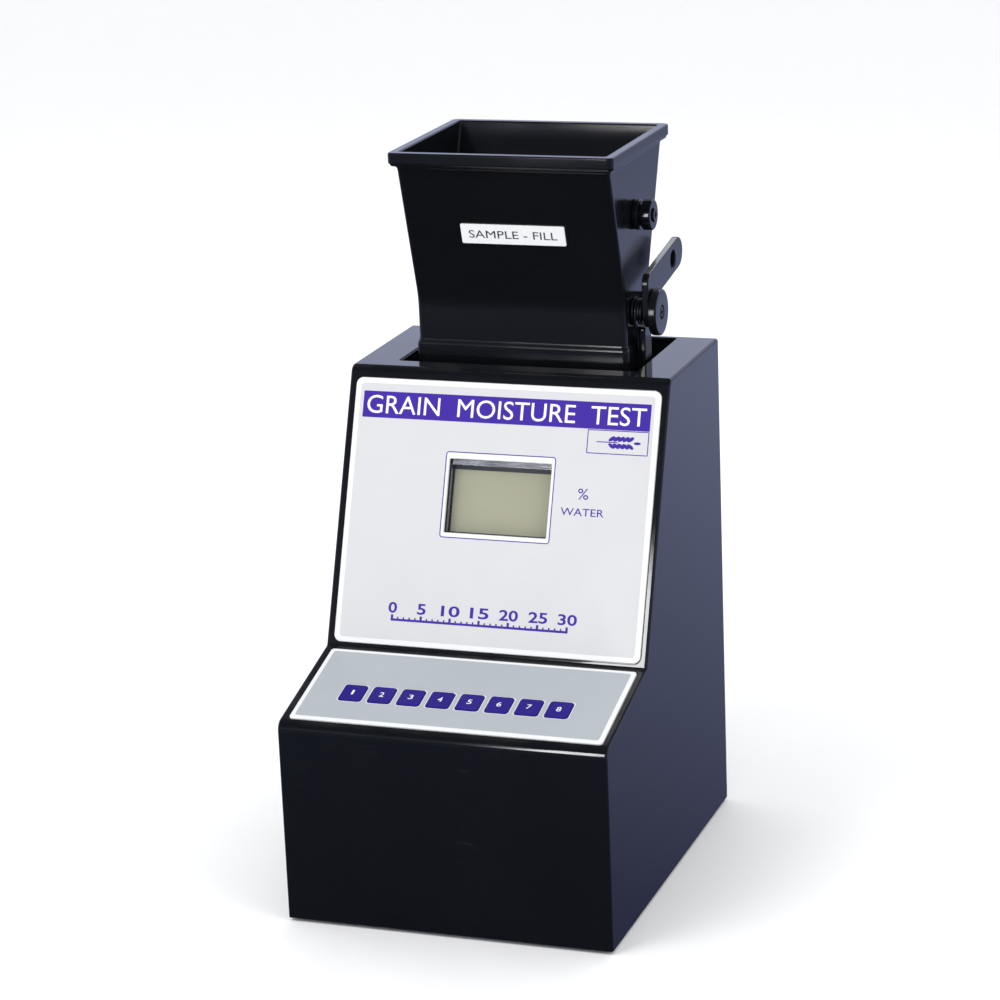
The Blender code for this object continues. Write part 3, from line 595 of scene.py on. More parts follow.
def moulded(name, tones, roughness, cell=0.9, depth=0.03):
    """Moulded plastic or rubber with a fine grain."""
    made = Finish(name, tones, roughness, mottle=18.0, smudge=24.0)
    made.dust(0.12)
    made.bump(made.cells(cell), depth)
    made.bump(made.noise(0.3), depth * 0.2)
    return made.done()


def make_lcd():
    """Blank reflective liquid crystal glass with a slightly uneven polariser."""
    tones = ((0.330, 0.330, 0.245), (0.362, 0.360, 0.270))
    made = Finish("lcd_polariser", tones, (0.10, 0.20), mottle=55.0)
    made.bump(made.noise(1.4), 0.002)
    return made.done()


def solder_mask(name):
    """Green solder mask with lighter tracks, and the mask of those tracks."""
    made = Finish(name, ((0.012, 0.110, 0.035), (0.018, 0.150, 0.050)), (0.25, 0.40))
    tracks = made.range(made.noise(5.0, 0.0, (0.2, 1, 1)), 0.49, 0.52, 0.0, 1.0)
    made.tint(tracks, (0.035, 0.240, 0.085))
    return made, tracks


def make_board():
    """A bare board whose tracks show as faint raised lines."""
    made, tracks = solder_mask("solder_mask")
    made.bump(tracks, 0.035)
    return made.done()


def make_circuit(board_top):
    """A board whose parts above its surface are dark moulded packages."""
    made, _ = solder_mask("populated_board")
    above = made.range(made.axis("Z"), board_top * MM, (board_top + 0.2) * MM, 0.0, 1.0)
    made.tint(above, (0.018, 0.018, 0.020), 0.5)
    made.bump(made.noise(0.5), 0.01)
    return made.done()


def make_cell_sleeve(half_length):
    """A battery: a dark sleeve with a pale band, and bare steel at both ends."""
    made = Finish("battery_wrap", ((0.030, 0.045, 0.150), (0.040, 0.058, 0.190)), (0.28, 0.42))
    along = made.maths("ABSOLUTE", made.axis("X"), 0.0)
    pale = made.range(along, (half_length - 9.0) * MM, (half_length - 8.7) * MM, 0.0, 1.0)
    made.tint(pale, (0.62, 0.60, 0.55), 0.35)
    bare = made.range(along, (half_length - 1.2) * MM, (half_length - 1.1) * MM, 0.0, 1.0)
    made.tint(bare, (0.42, 0.42, 0.43), 0.30)
    made.bump(made.noise(1.5), 0.01)
    return made.done()


BLACK_TONES = ((0.0035, 0.0040, 0.0055), (0.0050, 0.0055, 0.0075))
ENAMEL_TONES = ((0.0032, 0.0036, 0.0048), (0.0046, 0.0050, 0.0065))
BLACK = gloss_black("case_lacquer", BLACK_TONES, (0.045, 0.11), 0.05)
ENAMEL = gloss_black("hopper_stove_enamel", ENAMEL_TONES, (0.13, 0.20), 0.03)
WHITE = printed("panel_white_film", ((0.76, 0.765, 0.775), (0.78, 0.785, 0.795)), (0.28, 0.40))
PALE = printed("display_print", ((0.590, 0.592, 0.608), (0.608, 0.610, 0.626)))
GREY = printed("keypad_print", ((0.390, 0.422, 0.452), (0.410, 0.442, 0.472)))
VIOLET = printed("violet_ink", ((0.040, 0.012, 0.300), (0.050, 0.018, 0.335)), (0.38, 0.50), specular=0.22)
KEY_VIOLET = printed("key_film", ((0.010, 0.004, 0.180), (0.016, 0.008, 0.215)), (0.34, 0.48), 0.9, 0.22)
LETTER_WHITE = printed("white_ink", ((0.84, 0.84, 0.88), (0.88, 0.88, 0.91)))
LETTER_DARK = printed("dark_ink", ((0.030, 0.030, 0.050), (0.045, 0.045, 0.065)))
LCD = make_lcd()
BRIGHT = brushed("bezel_metal", ((0.42, 0.43, 0.46), (0.52, 0.53, 0.56)), (0.16, 0.26))
DARK_METAL = brushed("dark_metal_plate", ((0.10, 0.105, 0.12), (0.14, 0.145, 0.16)), (0.22, 0.36))
STEEL = brushed("plated_steel", ((0.56, 0.57, 0.59), (0.66, 0.67, 0.69)), (0.20, 0.34))
BRASS = brushed("rolled_brass", ((0.60, 0.43, 0.17), (0.72, 0.54, 0.24)), (0.22, 0.38))
RUBBER = moulded("black_rubber", ((0.014, 0.014, 0.015), (0.022, 0.022, 0.022)), (0.55, 0.75))
PLASTIC = moulded("grained_plastic", ((0.015, 0.015, 0.017), (0.021, 0.021, 0.023)), (0.36, 0.52))
BOARD = make_board()
INSULATOR = printed("white_insulator", ((0.68, 0.67, 0.62), (0.76, 0.75, 0.71)), (0.35, 0.5))
SILICONE = moulded("grey_silicone", ((0.20, 0.20, 0.21), (0.26, 0.26, 0.27)), (0.55, 0.7), 0.7, 0.01)


# Case


def case_profile(inset, bottom):
    """The case's side outline in Y and Z, moved in by inset on every side but the bottom."""
    lines = []
    for start, end in zip(CORNERS, CORNERS[1:]):
        length = math.dist(start, end)
        along = ((end[0] - start[0]) / length, (end[1] - start[1]) / length)
        lines.append(((start[0] + along[1] * inset, start[1] - along[0] * inset), along))
    moved = [(lines[0][0][0], bottom)]
    for one, two in zip(lines, lines[1:]):
        moved.append(line_meet(*one, *two))
    moved.append((lines[-1][0][0], bottom))
    turns = (0, -1, 1, -1, -1, 0)
    radii = [max(0.5, radius + turn * inset) if turn else 0 for radius, turn in zip(CORNER_RADII, turns)]
    return rounded_polygon(moved, radii, 10)


def key_caps():
    """Each key's cap rectangle on the keypad slope."""
    keys = [node_rect(f"key_{number}", KEYPAD) for number in range(1, KEY_COUNT + 1)]
    return [grown(rect, -KEY_FLANGE) for rect, _, _ in keys]


def corner_posts():
    """The posts in the case's corners that the foot screws go into."""
    posts = []
    low = node_box("foot_1")[1].z + POST_ABOVE_FOOT
    for x, y in SCREWS_AT:
        side = sorted((x - math.copysign(POST, x), math.copysign(CASE_HIGH.x - WALL + 1, x)))
        wall_y = CASE_LOW.y + 1 if y < 0 else CASE_HIGH.y - 1
        end = sorted((y + math.copysign(POST, -wall_y), wall_y))
        posts.append(prism(plain_rect(*side, *end), low, POST_TOP))
    return merged(posts)


def pocket(panel, matrix, radius):
    """A cutter for the shallow pocket that a panel lies in."""
    outline = rounded_rect(grown(node_rect(panel, matrix)[0], GAP), radius + GAP)
    return cut(cutter(outline, CUT_REACH - POCKET, 0, high_lip=POCKET_LIP), matrix)


def window_cut(rect, matrix):
    """A cutter through the wall behind a panel."""
    return cut(prism(rounded_rect(rect, 1.0, 3), -10, CUT_REACH), matrix)


def make_case():
    """The outer case: a rounded shell with posts, panel pockets and openings with soft lips."""
    half = CASE_HIGH.x
    left = sorted((-half + drop, inset) for inset, drop in quarter(SIDE_EDGE_RADIUS, 6))
    rings = left + [(-x, inset) for x, inset in left[::-1]]
    body = stacked([(case_profile(inset, CASE_LOW.z), x) for x, inset in rings], "x")
    hollow = prism(case_profile(WALL, CASE_LOW.z - 10), WALL - half, half - WALL, "x")
    posts = corner_posts()
    bores = merged([prism(circle(x, y, POST_BORE, 24), 0, POST_BORE_TOP) for x, y in SCREWS_AT])
    low, high = node_box("well_liner")
    well = rounded_rect((low.x + 7.0, high.x - 7.0, low.y + 6.0, high.y - 1.6), 1.5)
    caps = key_caps()
    slot = (caps[0][0] - 4, caps[-1][1] + 4, caps[0][2] - 4.5, caps[0][3] + 4.5)
    cuts = [
        cut(hollow),
        ("UNION", posts, None),
        cut(bores),
        cut(cutter(well, CASE_HIGH.z - 20, CASE_HIGH.z, high_lip=0.8)),
        pocket("keypad_panel", KEYPAD, KEYPAD_CORNER),
        window_cut(slot, KEYPAD),
        pocket("display_panel", DISPLAY, DISPLAY_CORNER),
        window_cut(grown(lcd_window(), 2.0), DISPLAY),
        cut(rear_openings()),
    ]
    piece("case_body", body, BLACK, "case", "case_black", ["case_shell"], cuts=cuts)


def rear_openings():
    """Cutters for the battery door, the power switch and the inlet in the rear wall."""
    low, high = node_box("battery_door")
    door = (low.x - 0.5, high.x + 0.5, low.z - 0.5, high.z + 0.6)
    low, high = node_box("power_switch_body")
    switch = grown((low.x, high.x, low.z, high.z), -1.3)
    openings = [
        (rounded_rect(door, 0.8, 4), OPENING_LIP),
        (rounded_rect(switch, 0.8, 4), 0.2),
        (circle(*node_centre("dc_socket", "xz"), 5.4, 48), 0.2),
    ]
    wall = (CASE_HIGH.y - 10, CASE_HIGH.y)
    return merged([cutter(outline, *wall, "y", high_lip=lip) for outline, lip in openings])


# Panels and what is printed on them


def window_plate(name, node, hole, radii, edge, looks):
    """A plate in the display's slope with one opening, with soft edges outside and inside."""
    outer, under, top = node_rect(node, DISPLAY)
    path = [(outer, 0, under, radii[0])]
    path += [(outer, inset, top - drop, radii[0]) for inset, drop in quarter(edge)]
    path += [(hole, -inset, top - drop, radii[1]) for inset, drop in quarter(edge)[::-1]]
    path += [(hole, 0, under, radii[1])]
    levels = []
    for rect, inset, level, corner in path:
        levels.append((rounded_rect(grown(rect, -inset), max(0.05, corner - inset)), level))
    piece(name, stacked(levels, closed=True), *looks, [node], DISPLAY)


def print_piece(name, bm, looks, matrix=None, cuts=()):
    piece(name, bm, *looks, (), matrix or DISPLAY, cuts, weighted=False)


def ring_print(name, rect, width, radius, level, looks):
    """A printed line around a rectangle."""
    inner = rounded_rect(grown(rect, -width), max(0.05, radius - width), 6)
    print_piece(name, band(rounded_rect(rect, radius, 6), inner, level, level + INK), looks)


def flat_print(name, outlines, level, looks):
    """Printed patches of any outline, all in one piece."""
    print_piece(name, merged([prism(outline, level, level + INK) for outline in outlines]), looks)


def text_print(name, words, rect, level, looks, matrix=None, weight=0.0):
    """Words drawn to fill a rectangle, in the plain default letters, thickened by weight."""
    curve = bpy.data.curves.new(name, "FONT")
    curve.body = words
    curve.offset = weight
    curve.resolution_u = 4
    source = linked(name + "_text", curve)
    mesh = evaluated_mesh(source)
    bpy.data.objects.remove(source)
    bm = bmesh.new()
    bm.from_mesh(mesh)
    bpy.data.meshes.remove(mesh)
    bmesh.ops.remove_doubles(bm, verts=bm.verts, dist=1e-5)
    xs = [v.co.x for v in bm.verts]
    ys = [v.co.y for v in bm.verts]
    scale_x = (rect[1] - rect[0]) / (max(xs) - min(xs))
    scale_y = (rect[3] - rect[2]) / (max(ys) - min(ys))
    left, base = min(xs), min(ys)
    for v in bm.verts:
        v.co = (rect[0] + (v.co.x - left) * scale_x, rect[2] + (v.co.y - base) * scale_y, level)
    top = bmesh.ops.extrude_face_region(bm, geom=list(bm.faces))
    raised = [item for item in top["geom"] if isinstance(item, bmesh.types.BMVert)]
    bmesh.ops.translate(bm, vec=(0, 0, INK), verts=raised)
    bmesh.ops.recalc_face_normals(bm, faces=bm.faces)
    print_piece(name, bm, looks, matrix)


def lcd_window():
    """The display panel's window, which the bezel surrounds by an even margin."""
    rect, _, _ = node_rect("lcd_bezel", DISPLAY)
    return grown(rect, -BEZEL_MARGIN)


def ellipse(x, s, long_half, short_half, lean):
    """A kernel's outline: an ellipse whose long axis leans from the slope's X."""
    outline = []
    for u, v in circle(0, 0, 1.0, 20):
        along, across = u * long_half, v * short_half
        outline.append((
            x + along * math.cos(lean) - across * math.sin(lean),
            s + along * math.sin(lean) + across * math.cos(lean),
        ))
    return outline


def grain_sprig(x, s, length):
    """A plain drawing of an ear of grain lying level: a stem with pairs of slanted kernels."""
    start = x - length / 2
    outlines = [plain_rect(start, x, s - 0.25, s + 0.25)]
    pairs = 5
    for row in range(pairs):
        at = x - length * 0.14 + row * length * 0.11
        for side in (-1, 1):
            outlines.append(ellipse(at, s + side * 1.95, 2.2, 1.0, side * math.radians(34)))
    outlines.append(ellipse(x + length * 0.46, s, 2.0, 0.75, 0.0))
    return outlines


def make_display():
    """The display panel, its print, and the bezel and glass in its window."""
    white = (WHITE, "case", "panel_white")
    window_plate("display_plate", "display_panel", lcd_window(), (DISPLAY_CORNER, 0.6), PANEL_EDGE, white)
    rect, _, top = node_rect("display_panel", DISPLAY)
    level = top + INK_GAP
    outer = rounded_rect(grown(rect, -DISPLAY_BORDER), 2.2)
    face = band(outer, rounded_rect(LCD_OUTLINE, 1.6), level, level + INK)
    print_piece("display_face", face, (PALE, "case", "panel_white"))
    level += INK + INK_GAP
    violet = (VIOLET, "case", "key_violet")
    flat_print("header_band", [rounded_rect(HEADER, 0.2, 2)], level, violet)
    ring_print("lcd_line", grown(LCD_OUTLINE, 0.25), 0.5, 1.8, level, violet)
    ring_print("emblem_box", EMBLEM, 0.45, 0.3, level, violet)
    ear = grain_sprig((EMBLEM[0] + EMBLEM[1]) / 2, (EMBLEM[2] + EMBLEM[3]) / 2, 24.0)
    flat_print("emblem_ear", ear, level, violet)
    text_print("percent_mark", "%", PERCENT, level, violet)
    text_print("percent_word", "WATER", PERCENT_WORD, level, violet)
    make_scale_print(level, violet)
    words = (HEADER[0] + 2.4, HEADER[1] - 2.4, HEADER[2] + 2.4, HEADER[3] - 2.2)
    letters = (LETTER_WHITE, "case", "panel_white")
    text_print("header_words", "GRAIN  MOISTURE  TEST", words, level + INK + INK_GAP, letters)
    make_lcd_parts()


def make_scale_print(level, looks):
    """A plain printed scale: a rule with ticks, and numbers over the long ones."""
    x0, x1, s0, s1 = SCALE
    foot = s0 + SCALE_RULE
    run = x1 - x0 - SCALE_RULE
    ticks = [x0 + SCALE_RULE / 2 + run * i / SCALE_STEPS for i in range(SCALE_STEPS + 1)]
    outlines = [plain_rect(x0, x1, s0, foot)]
    for i, x in enumerate(ticks):
        tall, half = (3.4, 0.65) if i % 5 == 0 else (2.3, 0.4)
        outlines.append(plain_rect(x - half, x + half, foot, s0 + tall))
    flat_print("scale_rule", outlines, level, looks)
    for i in range(0, SCALE_STEPS + 1, 5):
        half = 2.5 if i < 10 else 5.4
        rect = (ticks[i] - half, ticks[i] + half, s0 + 4.3, s1 + 0.8)
        text_print(f"scale_number_{i}", str(i), rect, level, looks, weight=0.02)


def make_lcd_parts():
    """The bezel's pressed frame, the glass behind it, and dark ink on the glass: painted shade along the
    window's edges and a painted shadow under its top edge.
    """
    signed = zip(lcd_window(), (1, -1, 1, -1), VIEW_INSET)
    view = tuple(edge + sign * inset for edge, sign, inset in signed)
    window_plate("lcd_frame", "lcd_bezel", view, (0.5, 0.3), 0.25, (BRIGHT, "case", "dark_metal"))
    outer, under, top = node_rect("lcd_glass", DISPLAY)
    glass = soft_prism(rounded_rect(outer, 0.4, 3), under, top, high_edge=0.3)
    piece("lcd_panel", glass, LCD, "case", "lcd_grey", ["lcd_glass"], DISPLAY)
    # Dark ink round the view: painted shade where the recessed window's edges shade the glass.
    mask = (LETTER_DARK, "case", "dark_metal")
    ring_print("lcd_painted_shade", grown(view, 1.2), 1.9, 0.3, top + INK_GAP, mask)
    # A wider dark strip along the top of the view: painted shadow under the bezel's upper edge.
    strip = (view[0] + 0.7, view[1] - 0.7, view[3] - 2.1, view[3] - 0.7)
    flat_print("lcd_mask_top", [rounded_rect(strip, 0.05, 2)], top + INK_GAP, mask)


def make_keypad():
    """The keypad panel with its print, and the eight keys with their numbers."""
    rect, under, top = node_rect("keypad_panel", KEYPAD)
    caps = key_caps()
    holes = [cutter(rounded_rect(grown(c, GAP), 2.0, 6), under, top, high_lip=0.15) for c in caps]
    cuts = [cut(merged(holes), KEYPAD)]
    plate = soft_prism(rounded_rect(rect, KEYPAD_CORNER), under, top, high_edge=PANEL_EDGE)
    piece("keypad_plate", plate, WHITE, "case", "panel_grey", ["keypad_panel"], KEYPAD, cuts)
    level = top + INK_GAP
    face = prism(rounded_rect(grown(rect, -KEYPAD_BORDER), 1.6), level, level + INK)
    rings = [prism(rounded_rect(grown(c, KEY_RING), 2.4, 6), -5, 5) for c in caps]
    print_piece("keypad_face", face, (GREY, "case", "panel_grey"), KEYPAD, [cut(merged(rings), KEYPAD)])
    for number, cap in enumerate(caps, 1):
        make_key(number, cap)


def make_key(number, cap):
    """One key: a soft-edged cap over its flange and stem, with its number printed on it."""
    node = f"key_{number}"
    _, under, top = node_rect(node, KEYPAD)
    flange = -POCKET - 0.8
    levels = [(-4.4, under, 1.2), (-4.4, flange, 1.2), (KEY_FLANGE, flange, 1.5)]
    levels += [(KEY_FLANGE, -POCKET, 1.5), (0, -POCKET, 1.8)]
    levels += [(-inset, top - drop, 1.8 - inset) for inset, drop in quarter(0.45, 5)]
    body = stacked([(rounded_rect(grown(cap, grow), radius, 6), level) for grow, level, radius in levels])
    piece(f"key_cap_{number}", body, KEY_VIOLET, node, "key_violet", [node], KEYPAD)
    x = (cap[0] + cap[1]) / 2
    s = (cap[2] + cap[3]) / 2
    half = 0.6 if number == 1 else 1.3
    numeral = (x - half, x + half, s - 2.0, s + 2.0)
    looks = (LETTER_WHITE, node, "panel_white")
    text_print(f"key_number_{number}", str(number), numeral, top + INK_GAP, looks, KEYPAD)


# Hopper


HOPPER_LOOKS = (ENAMEL, "hopper", "hopper_enamel")


def hopper_loop(z, grow):
    """The hopper's outline at a height, moved out by grow; below the bend it is the throat."""
    bend_z = PIVOT[2] + BEND_ABOVE_PIVOT
    rim_under = HOPPER_HIGH.z - RIM_HEIGHT
    mouth_front = HOPPER_LOW.y + RIM_OVERHANG
    mouth_rear = HOPPER_HIGH.y - RIM_OVERHANG
    slope = (z - bend_z) / (rim_under - bend_z)
    blend = BEND_REACH / (rim_under - bend_z)
    rise = min(1.0, max(0.0, slope))
    if abs(slope) < blend:
        rise = (slope + blend) ** 2 / (4 * blend)
    front = mouth_front + THROAT_FRONT_IN * (1 - rise) - grow
    rear = mouth_rear - THROAT_REAR_IN * (1 - rise) + grow
    half = HOPPER_HIGH.x - RIM_OVERHANG + grow
    return rounded_rect((-half, half, front, rear), HOPPER_CORNER + min(grow, 0), 10)


def make_hopper():
    """The hopper: throat with a shoulder, sloped walls with a soft bend, and a rolled rim."""
    low, top = HOPPER_LOW.z, HOPPER_HIGH.z
    under = top - RIM_HEIGHT
    flare = under - RIM_FLARE_DROP
    shoulder = PIVOT[2] - SHOULDER_BELOW_PIVOT
    bend = [PIVOT[2] + BEND_ABOVE_PIVOT + step for step in range(-BEND_REACH, BEND_REACH + 1)]
    roll = [(i / 8, SHOULDER_ROLL * (i / 8 - 0.5)) for i in range(9)]
    angles = [math.radians(22.5 * i) for i in range(1, 5)]
    levels = [(low + drop, SHOULDER - inset) for inset, drop in quarter(0.5, 3)[::-1]]
    levels += [(shoulder + drop, SHOULDER * (1 - t) ** 2 * (1 + 2 * t)) for t, drop in roll]
    levels += [(z, 0) for z in bend + [flare]]
    levels += [(flare + RIM_FLARE * math.sin(a), RIM_FLARE * (1 - math.cos(a))) for a in angles]
    levels += [(under + 0.2, RIM_OVERHANG - 0.55), (under + 0.55, RIM_OVERHANG - 0.15)]
    levels += [(under + 1.1, RIM_OVERHANG)]
    levels += [(top - drop, RIM_OVERHANG - inset) for inset, drop in quarter(0.9, 6)]
    levels += [(top - drop, -HOPPER_WALL + inset) for inset, drop in quarter(1.0, 6)[::-1]]
    levels += [(z, -HOPPER_WALL) for z in [flare] + bend[::-1] + [low]]
    body = stacked([(hopper_loop(z, grow), z) for z, grow in levels], closed=True)
    hole = circle(*SHAFT_AT, 5.5, 48)
    wall = HOPPER_HIGH.x - RIM_OVERHANG
    sides = ((wall - HOPPER_WALL, wall), (-wall, -wall + HOPPER_WALL))
    holes = merged([cutter(hole, *side, "x", low_lip=0.2, high_lip=0.2) for side in sides])
    piece("hopper_shell", body, *HOPPER_LOOKS, ["hopper_body"], cuts=[cut(holes)])


def make_hopper_label():
    """The white plate on the hopper's sloped front, with plain dark words."""
    normal, point = front_plane("hopper_label")
    matrix = slope_matrix(normal, point)
    rect, under, top = node_rect("hopper_label", matrix)
    plate = soft_prism(rounded_rect(rect, 0.8, 6), under, top, low_edge=0.1, high_edge=0.3)
    piece("label_plate", plate, WHITE, "hopper", "panel_white", ["hopper_label"], matrix)
    words = (rect[0] + 4.5, rect[1] - 4.5, rect[2] + 3.6, rect[3] - 3.6)
    looks = (LETTER_DARK, "hopper", "black_plastic")
    text_print("label_words", "SAMPLE - FILL", words, top + INK_GAP, looks, matrix)


# Gate, lever and fittings


def lever_outline():
    """The lever in Y and Z from its pivot: a hub, a short neck and a bar with a round end."""
    rise = math.radians(LEVER_RISE)
    along = (math.cos(rise), math.sin(rise))
    out = (-along[1], along[0])
    end = arc(*LEVER_END, LEVER_HALF_HEIGHT, LEVER_RISE - 90, LEVER_RISE + 90, 24)
    low = (LEVER_END[0] - out[0] * LEVER_HALF_HEIGHT, LEVER_END[1] - out[1] * LEVER_HALF_HEIGHT)
    high = (LEVER_END[0] + out[0] * LEVER_HALF_HEIGHT, LEVER_END[1] + out[1] * LEVER_HALF_HEIGHT)
    inner = line_meet(low, along, (HUB, 0), (0, 1))
    outer = line_meet(high, along, (-HUB, 0), (0, 1))
    inner_corner = rounded_polygon([(HUB, 0), inner, low], [0, 3.5, 0], 8)[1:-1]
    outer_corner = rounded_polygon([high, outer, (-HUB, 0)], [0, 6.0, 0], 8)[1:-1]
    outline = inner_corner + end + outer_corner + arc(0, 0, HUB, 180, 360, 24)
    return [(PIVOT[1] + u, PIVOT[2] + v) for u, v in outline]


def make_screw(name, node, looks, heights, radii, rounding, at, axis, recess):
    """A screw with a cross recess; its heights are its tip, its head's underside and its top."""
    tip, under, top = heights
    shank, head = radii
    corners = [
        (tip, 0.4, 0), (tip, shank, rounding[0]), (under, shank, 0),
        (under, head, 0.1), (top, head, rounding[1]), (top, 0.4, 0),
    ]
    depth, size = recess
    levels = sorted((top - depth, top + math.copysign(CUT_REACH, depth)))
    half = size * 0.17
    cuts = []
    for u, v in ((size / 2, half), (half, size / 2)):
        bar = plain_rect(at[0] - u, at[0] + u, at[1] - v, at[1] + v)
        cuts.append(cut(prism(bar, *levels, axis)))
    piece(name, turned(corners, at, axis, 48), *looks, [node], cuts=cuts)


def make_gate():
    """What turns with the gate: the lever, its disc knob and the screw that holds them."""
    looks = (ENAMEL, "gate", "hopper_enamel")
    low, high = node_box("release_lever")
    lever = soft_prism(lever_outline(), low.x, high.x, "x", low_edge=0.6, high_edge=0.8)
    bore = circle(*SHAFT_AT, SHAFT_BORE, 48)
    hole = circle(PIVOT[1] + LEVER_HOLE[0], PIVOT[2] + LEVER_HOLE[1], LEVER_HOLE_RADIUS, 48)
    cuts = [
        cut(cutter(bore, low.x, high.x, "x")),
        cut(cutter(hole, low.x, high.x, "x", low_lip=0.5, high_lip=0.6)),
    ]
    piece("lever_plate", lever, *looks, ["release_lever"], cuts=cuts)
    low, high = node_box("lever_disc")
    shaft_end = node_box("gate_shaft")[1].x
    web, floor = shaft_end + GAP, shaft_end + 1.3
    disc = [
        (low.x, SHAFT_BORE, 0.2), (low.x, DISC_RADIUS, 0.8), (high.x, DISC_RADIUS, 1.1),
        (high.x, DISC_RECESS, 0.4), (floor, DISC_RECESS, 0.2), (floor, 1.8, 0.1),
        (web, 1.8, 0.1), (web, SHAFT_BORE, 0.2),
    ]
    piece("disc_knob", turned(disc, SHAFT_AT, "x", 96, closed=True), *looks, ["lever_disc"])
    low, high = node_box("lever_screw")
    heights = (low.x, floor + GAP, high.x)
    sizes = ((1.5, 3.4), (0.3, 1.1))
    make_screw("disc_screw", "lever_screw", looks, heights, *sizes, SHAFT_AT, "x", (0.9, 3.6))


def make_stop():
    """The two-step stop above the lever and the screw through it."""
    low, high = node_box("lever_stop")
    at = node_centre("lever_stop", "yz")
    radius = (high.y - low.y) / 2
    neck, step = (low.x + along for along in STOP_NECK)
    spool = [
        (low.x, 2.2, 0.1), (low.x, radius, 0.7), (neck, radius, 0.7), (neck, STOP_NECK_RADIUS, 0.4),
        (step, STOP_NECK_RADIUS, 0.4), (step, radius, 0.7), (high.x, radius, 0.8), (high.x, 2.2, 0.4),
    ]
    piece("stop_spool", turned(spool, at, "x", 96, closed=True), *HOPPER_LOOKS, ["lever_stop"])
    low, high = node_box("lever_stop_screw")
    heights = (low.x, high.x - 0.7, high.x)
    sizes = ((1.9, 4.0), (0.3, 0.6))
    make_screw("stop_screw", "lever_stop_screw", HOPPER_LOOKS, heights, *sizes, at, "x", (0.5, 4.2))


def make_bushes():
    """The two flanged bushes of the shaft, the rest pin and the spring block."""
    metal = (DARK_METAL, "hopper", "dark_metal")
    face = HOPPER_HIGH.x - RIM_OVERHANG + GAP
    rim = face + BUSH_FLANGE
    low, high = node_box("bush_right")
    right = [
        (low.x, SHAFT_BORE, 0.2), (low.x, BUSH_RADIUS, 0.2), (face, BUSH_RADIUS, 0.1), (face, 8.0, 0.4),
        (rim, 8.0, 0.5), (rim, BUSH_RADIUS, 0.3), (high.x, BUSH_RADIUS, 0.4), (high.x, SHAFT_BORE, 0.3),
    ]
    piece("bush_sleeve_right", turned(right, SHAFT_AT, "x", closed=True), *metal, ["bush_right"])
    low, high = node_box("bush_left")
    left = [
        (high.x, SHAFT_BORE, 0.2), (high.x, BUSH_RADIUS, 0.2), (-face, BUSH_RADIUS, 0.1),
        (-face, 6.5, 0.2), (low.x, 6.5, 0.5), (low.x, SHAFT_BORE, 0.2),
    ]
    piece("bush_sleeve_left", turned(left, SHAFT_AT, "x", closed=True), *metal, ["bush_left"])
    low, high = node_box("lever_rest_pin")
    radius = (high.y - low.y) / 2
    pin = [(low.x, 0.3, 0), (low.x, radius, 0.2), (high.x, radius, 0.8), (high.x, 0.3, 0)]
    body = turned(pin, node_centre("lever_rest_pin", "yz"), "x", 48)
    piece("rest_pin", body, STEEL, "hopper", "steel", ["lever_rest_pin"])
    low, high = node_box("spring_block")
    outline = rounded_rect((low.y, high.y, low.z, high.z), 1.8, 6)
    body = soft_prism(outline, low.x, high.x, "x", low_edge=0.2, high_edge=0.9)
    piece("spring_anchor", body, *HOPPER_LOOKS, ["spring_block"])


def make_spring():
    """The return spring: an anchored leg, a close coil and a leg up the lever."""
    start, end = SPRING_X
    points = [(start, -2.6, -20), (start, -3.0, -14), (start, -5.6, -9), (start, -SPRING_RADIUS, -4)]
    steps = int(SPRING_TURNS * 40)
    for i in range(steps + 1):
        a = math.pi - 2 * math.pi * SPRING_TURNS * i / steps
        x = start + (end - start) * i / steps
        points.append((x, SPRING_RADIUS * math.cos(a), SPRING_RADIUS * math.sin(a)))
    points += [(end, SPRING_RADIUS, -4), (end, SPRING_RADIUS, -7)]
    curve = bpy.data.curves.new("spring_wire", "CURVE")
    curve.dimensions = "3D"
    curve.bevel_depth = SPRING_WIRE * MM
    curve.bevel_resolution = 4
    curve.use_fill_caps = True
    line = curve.splines.new("POLY")
    line.points.add(len(points) - 1)
    for target, (x, y, z) in zip(line.points, points):
        target.co = (x * MM, (PIVOT[1] + y) * MM, (PIVOT[2] + z) * MM, 1)
    source = linked("spring_path", curve)
    mesh = evaluated_mesh(source)
    bpy.data.objects.remove(source)
    made = linked("spring_wire", mesh)
    finish_piece(made, DARK_METAL, "hopper", ["return_spring"], weighted=False)


# Rear fittings and underside


REAR_LOOKS = (PLASTIC, "case", "black_plastic")


def make_door():
    """The battery door: a hinged cover with grip ribs, a finger notch and a soft outline."""
    low, high = node_box("battery_door")
    _, hinge_y, hinge_z = joint_place("battery_door_hinge")
    bottom = low.z - hinge_z
    outline = [(-1.1, 0)] + arc(0, 0, 1.6, 150, 30, 12) + [(1.1, 0)]
    outline += [(1.3, -3), (1.3, bottom), (-1.1, bottom)]
    outline = [(hinge_y + y, hinge_z + z) for y, z in outline]
    body = soft_prism(outline, low.x, high.x, "x", low_edge=0.3, high_edge=0.3)
    face = hinge_y + 1.3
    cuts = []
    for row in range(5):
        z = low.z + 13 + row * 2.6
        groove = rounded_rect((-11, 11, z - 0.55, z + 0.55), 0.5, 4)
        cuts.append(cut(prism(groove, face - 0.6, face + CUT_REACH, "y")))
    arrow = [(-5, 6.5), (0, 3.2), (5, 6.5), (5, 8.0), (0, 4.9), (-5, 8.0)]
    arrow = [(x, low.z + z) for x, z in arrow]
    cuts.append(cut(prism(arrow, face - 0.5, face + CUT_REACH, "y")))
    piece("door_cover", body, PLASTIC, "battery_door", "black_plastic", ["battery_door"], cuts=cuts)


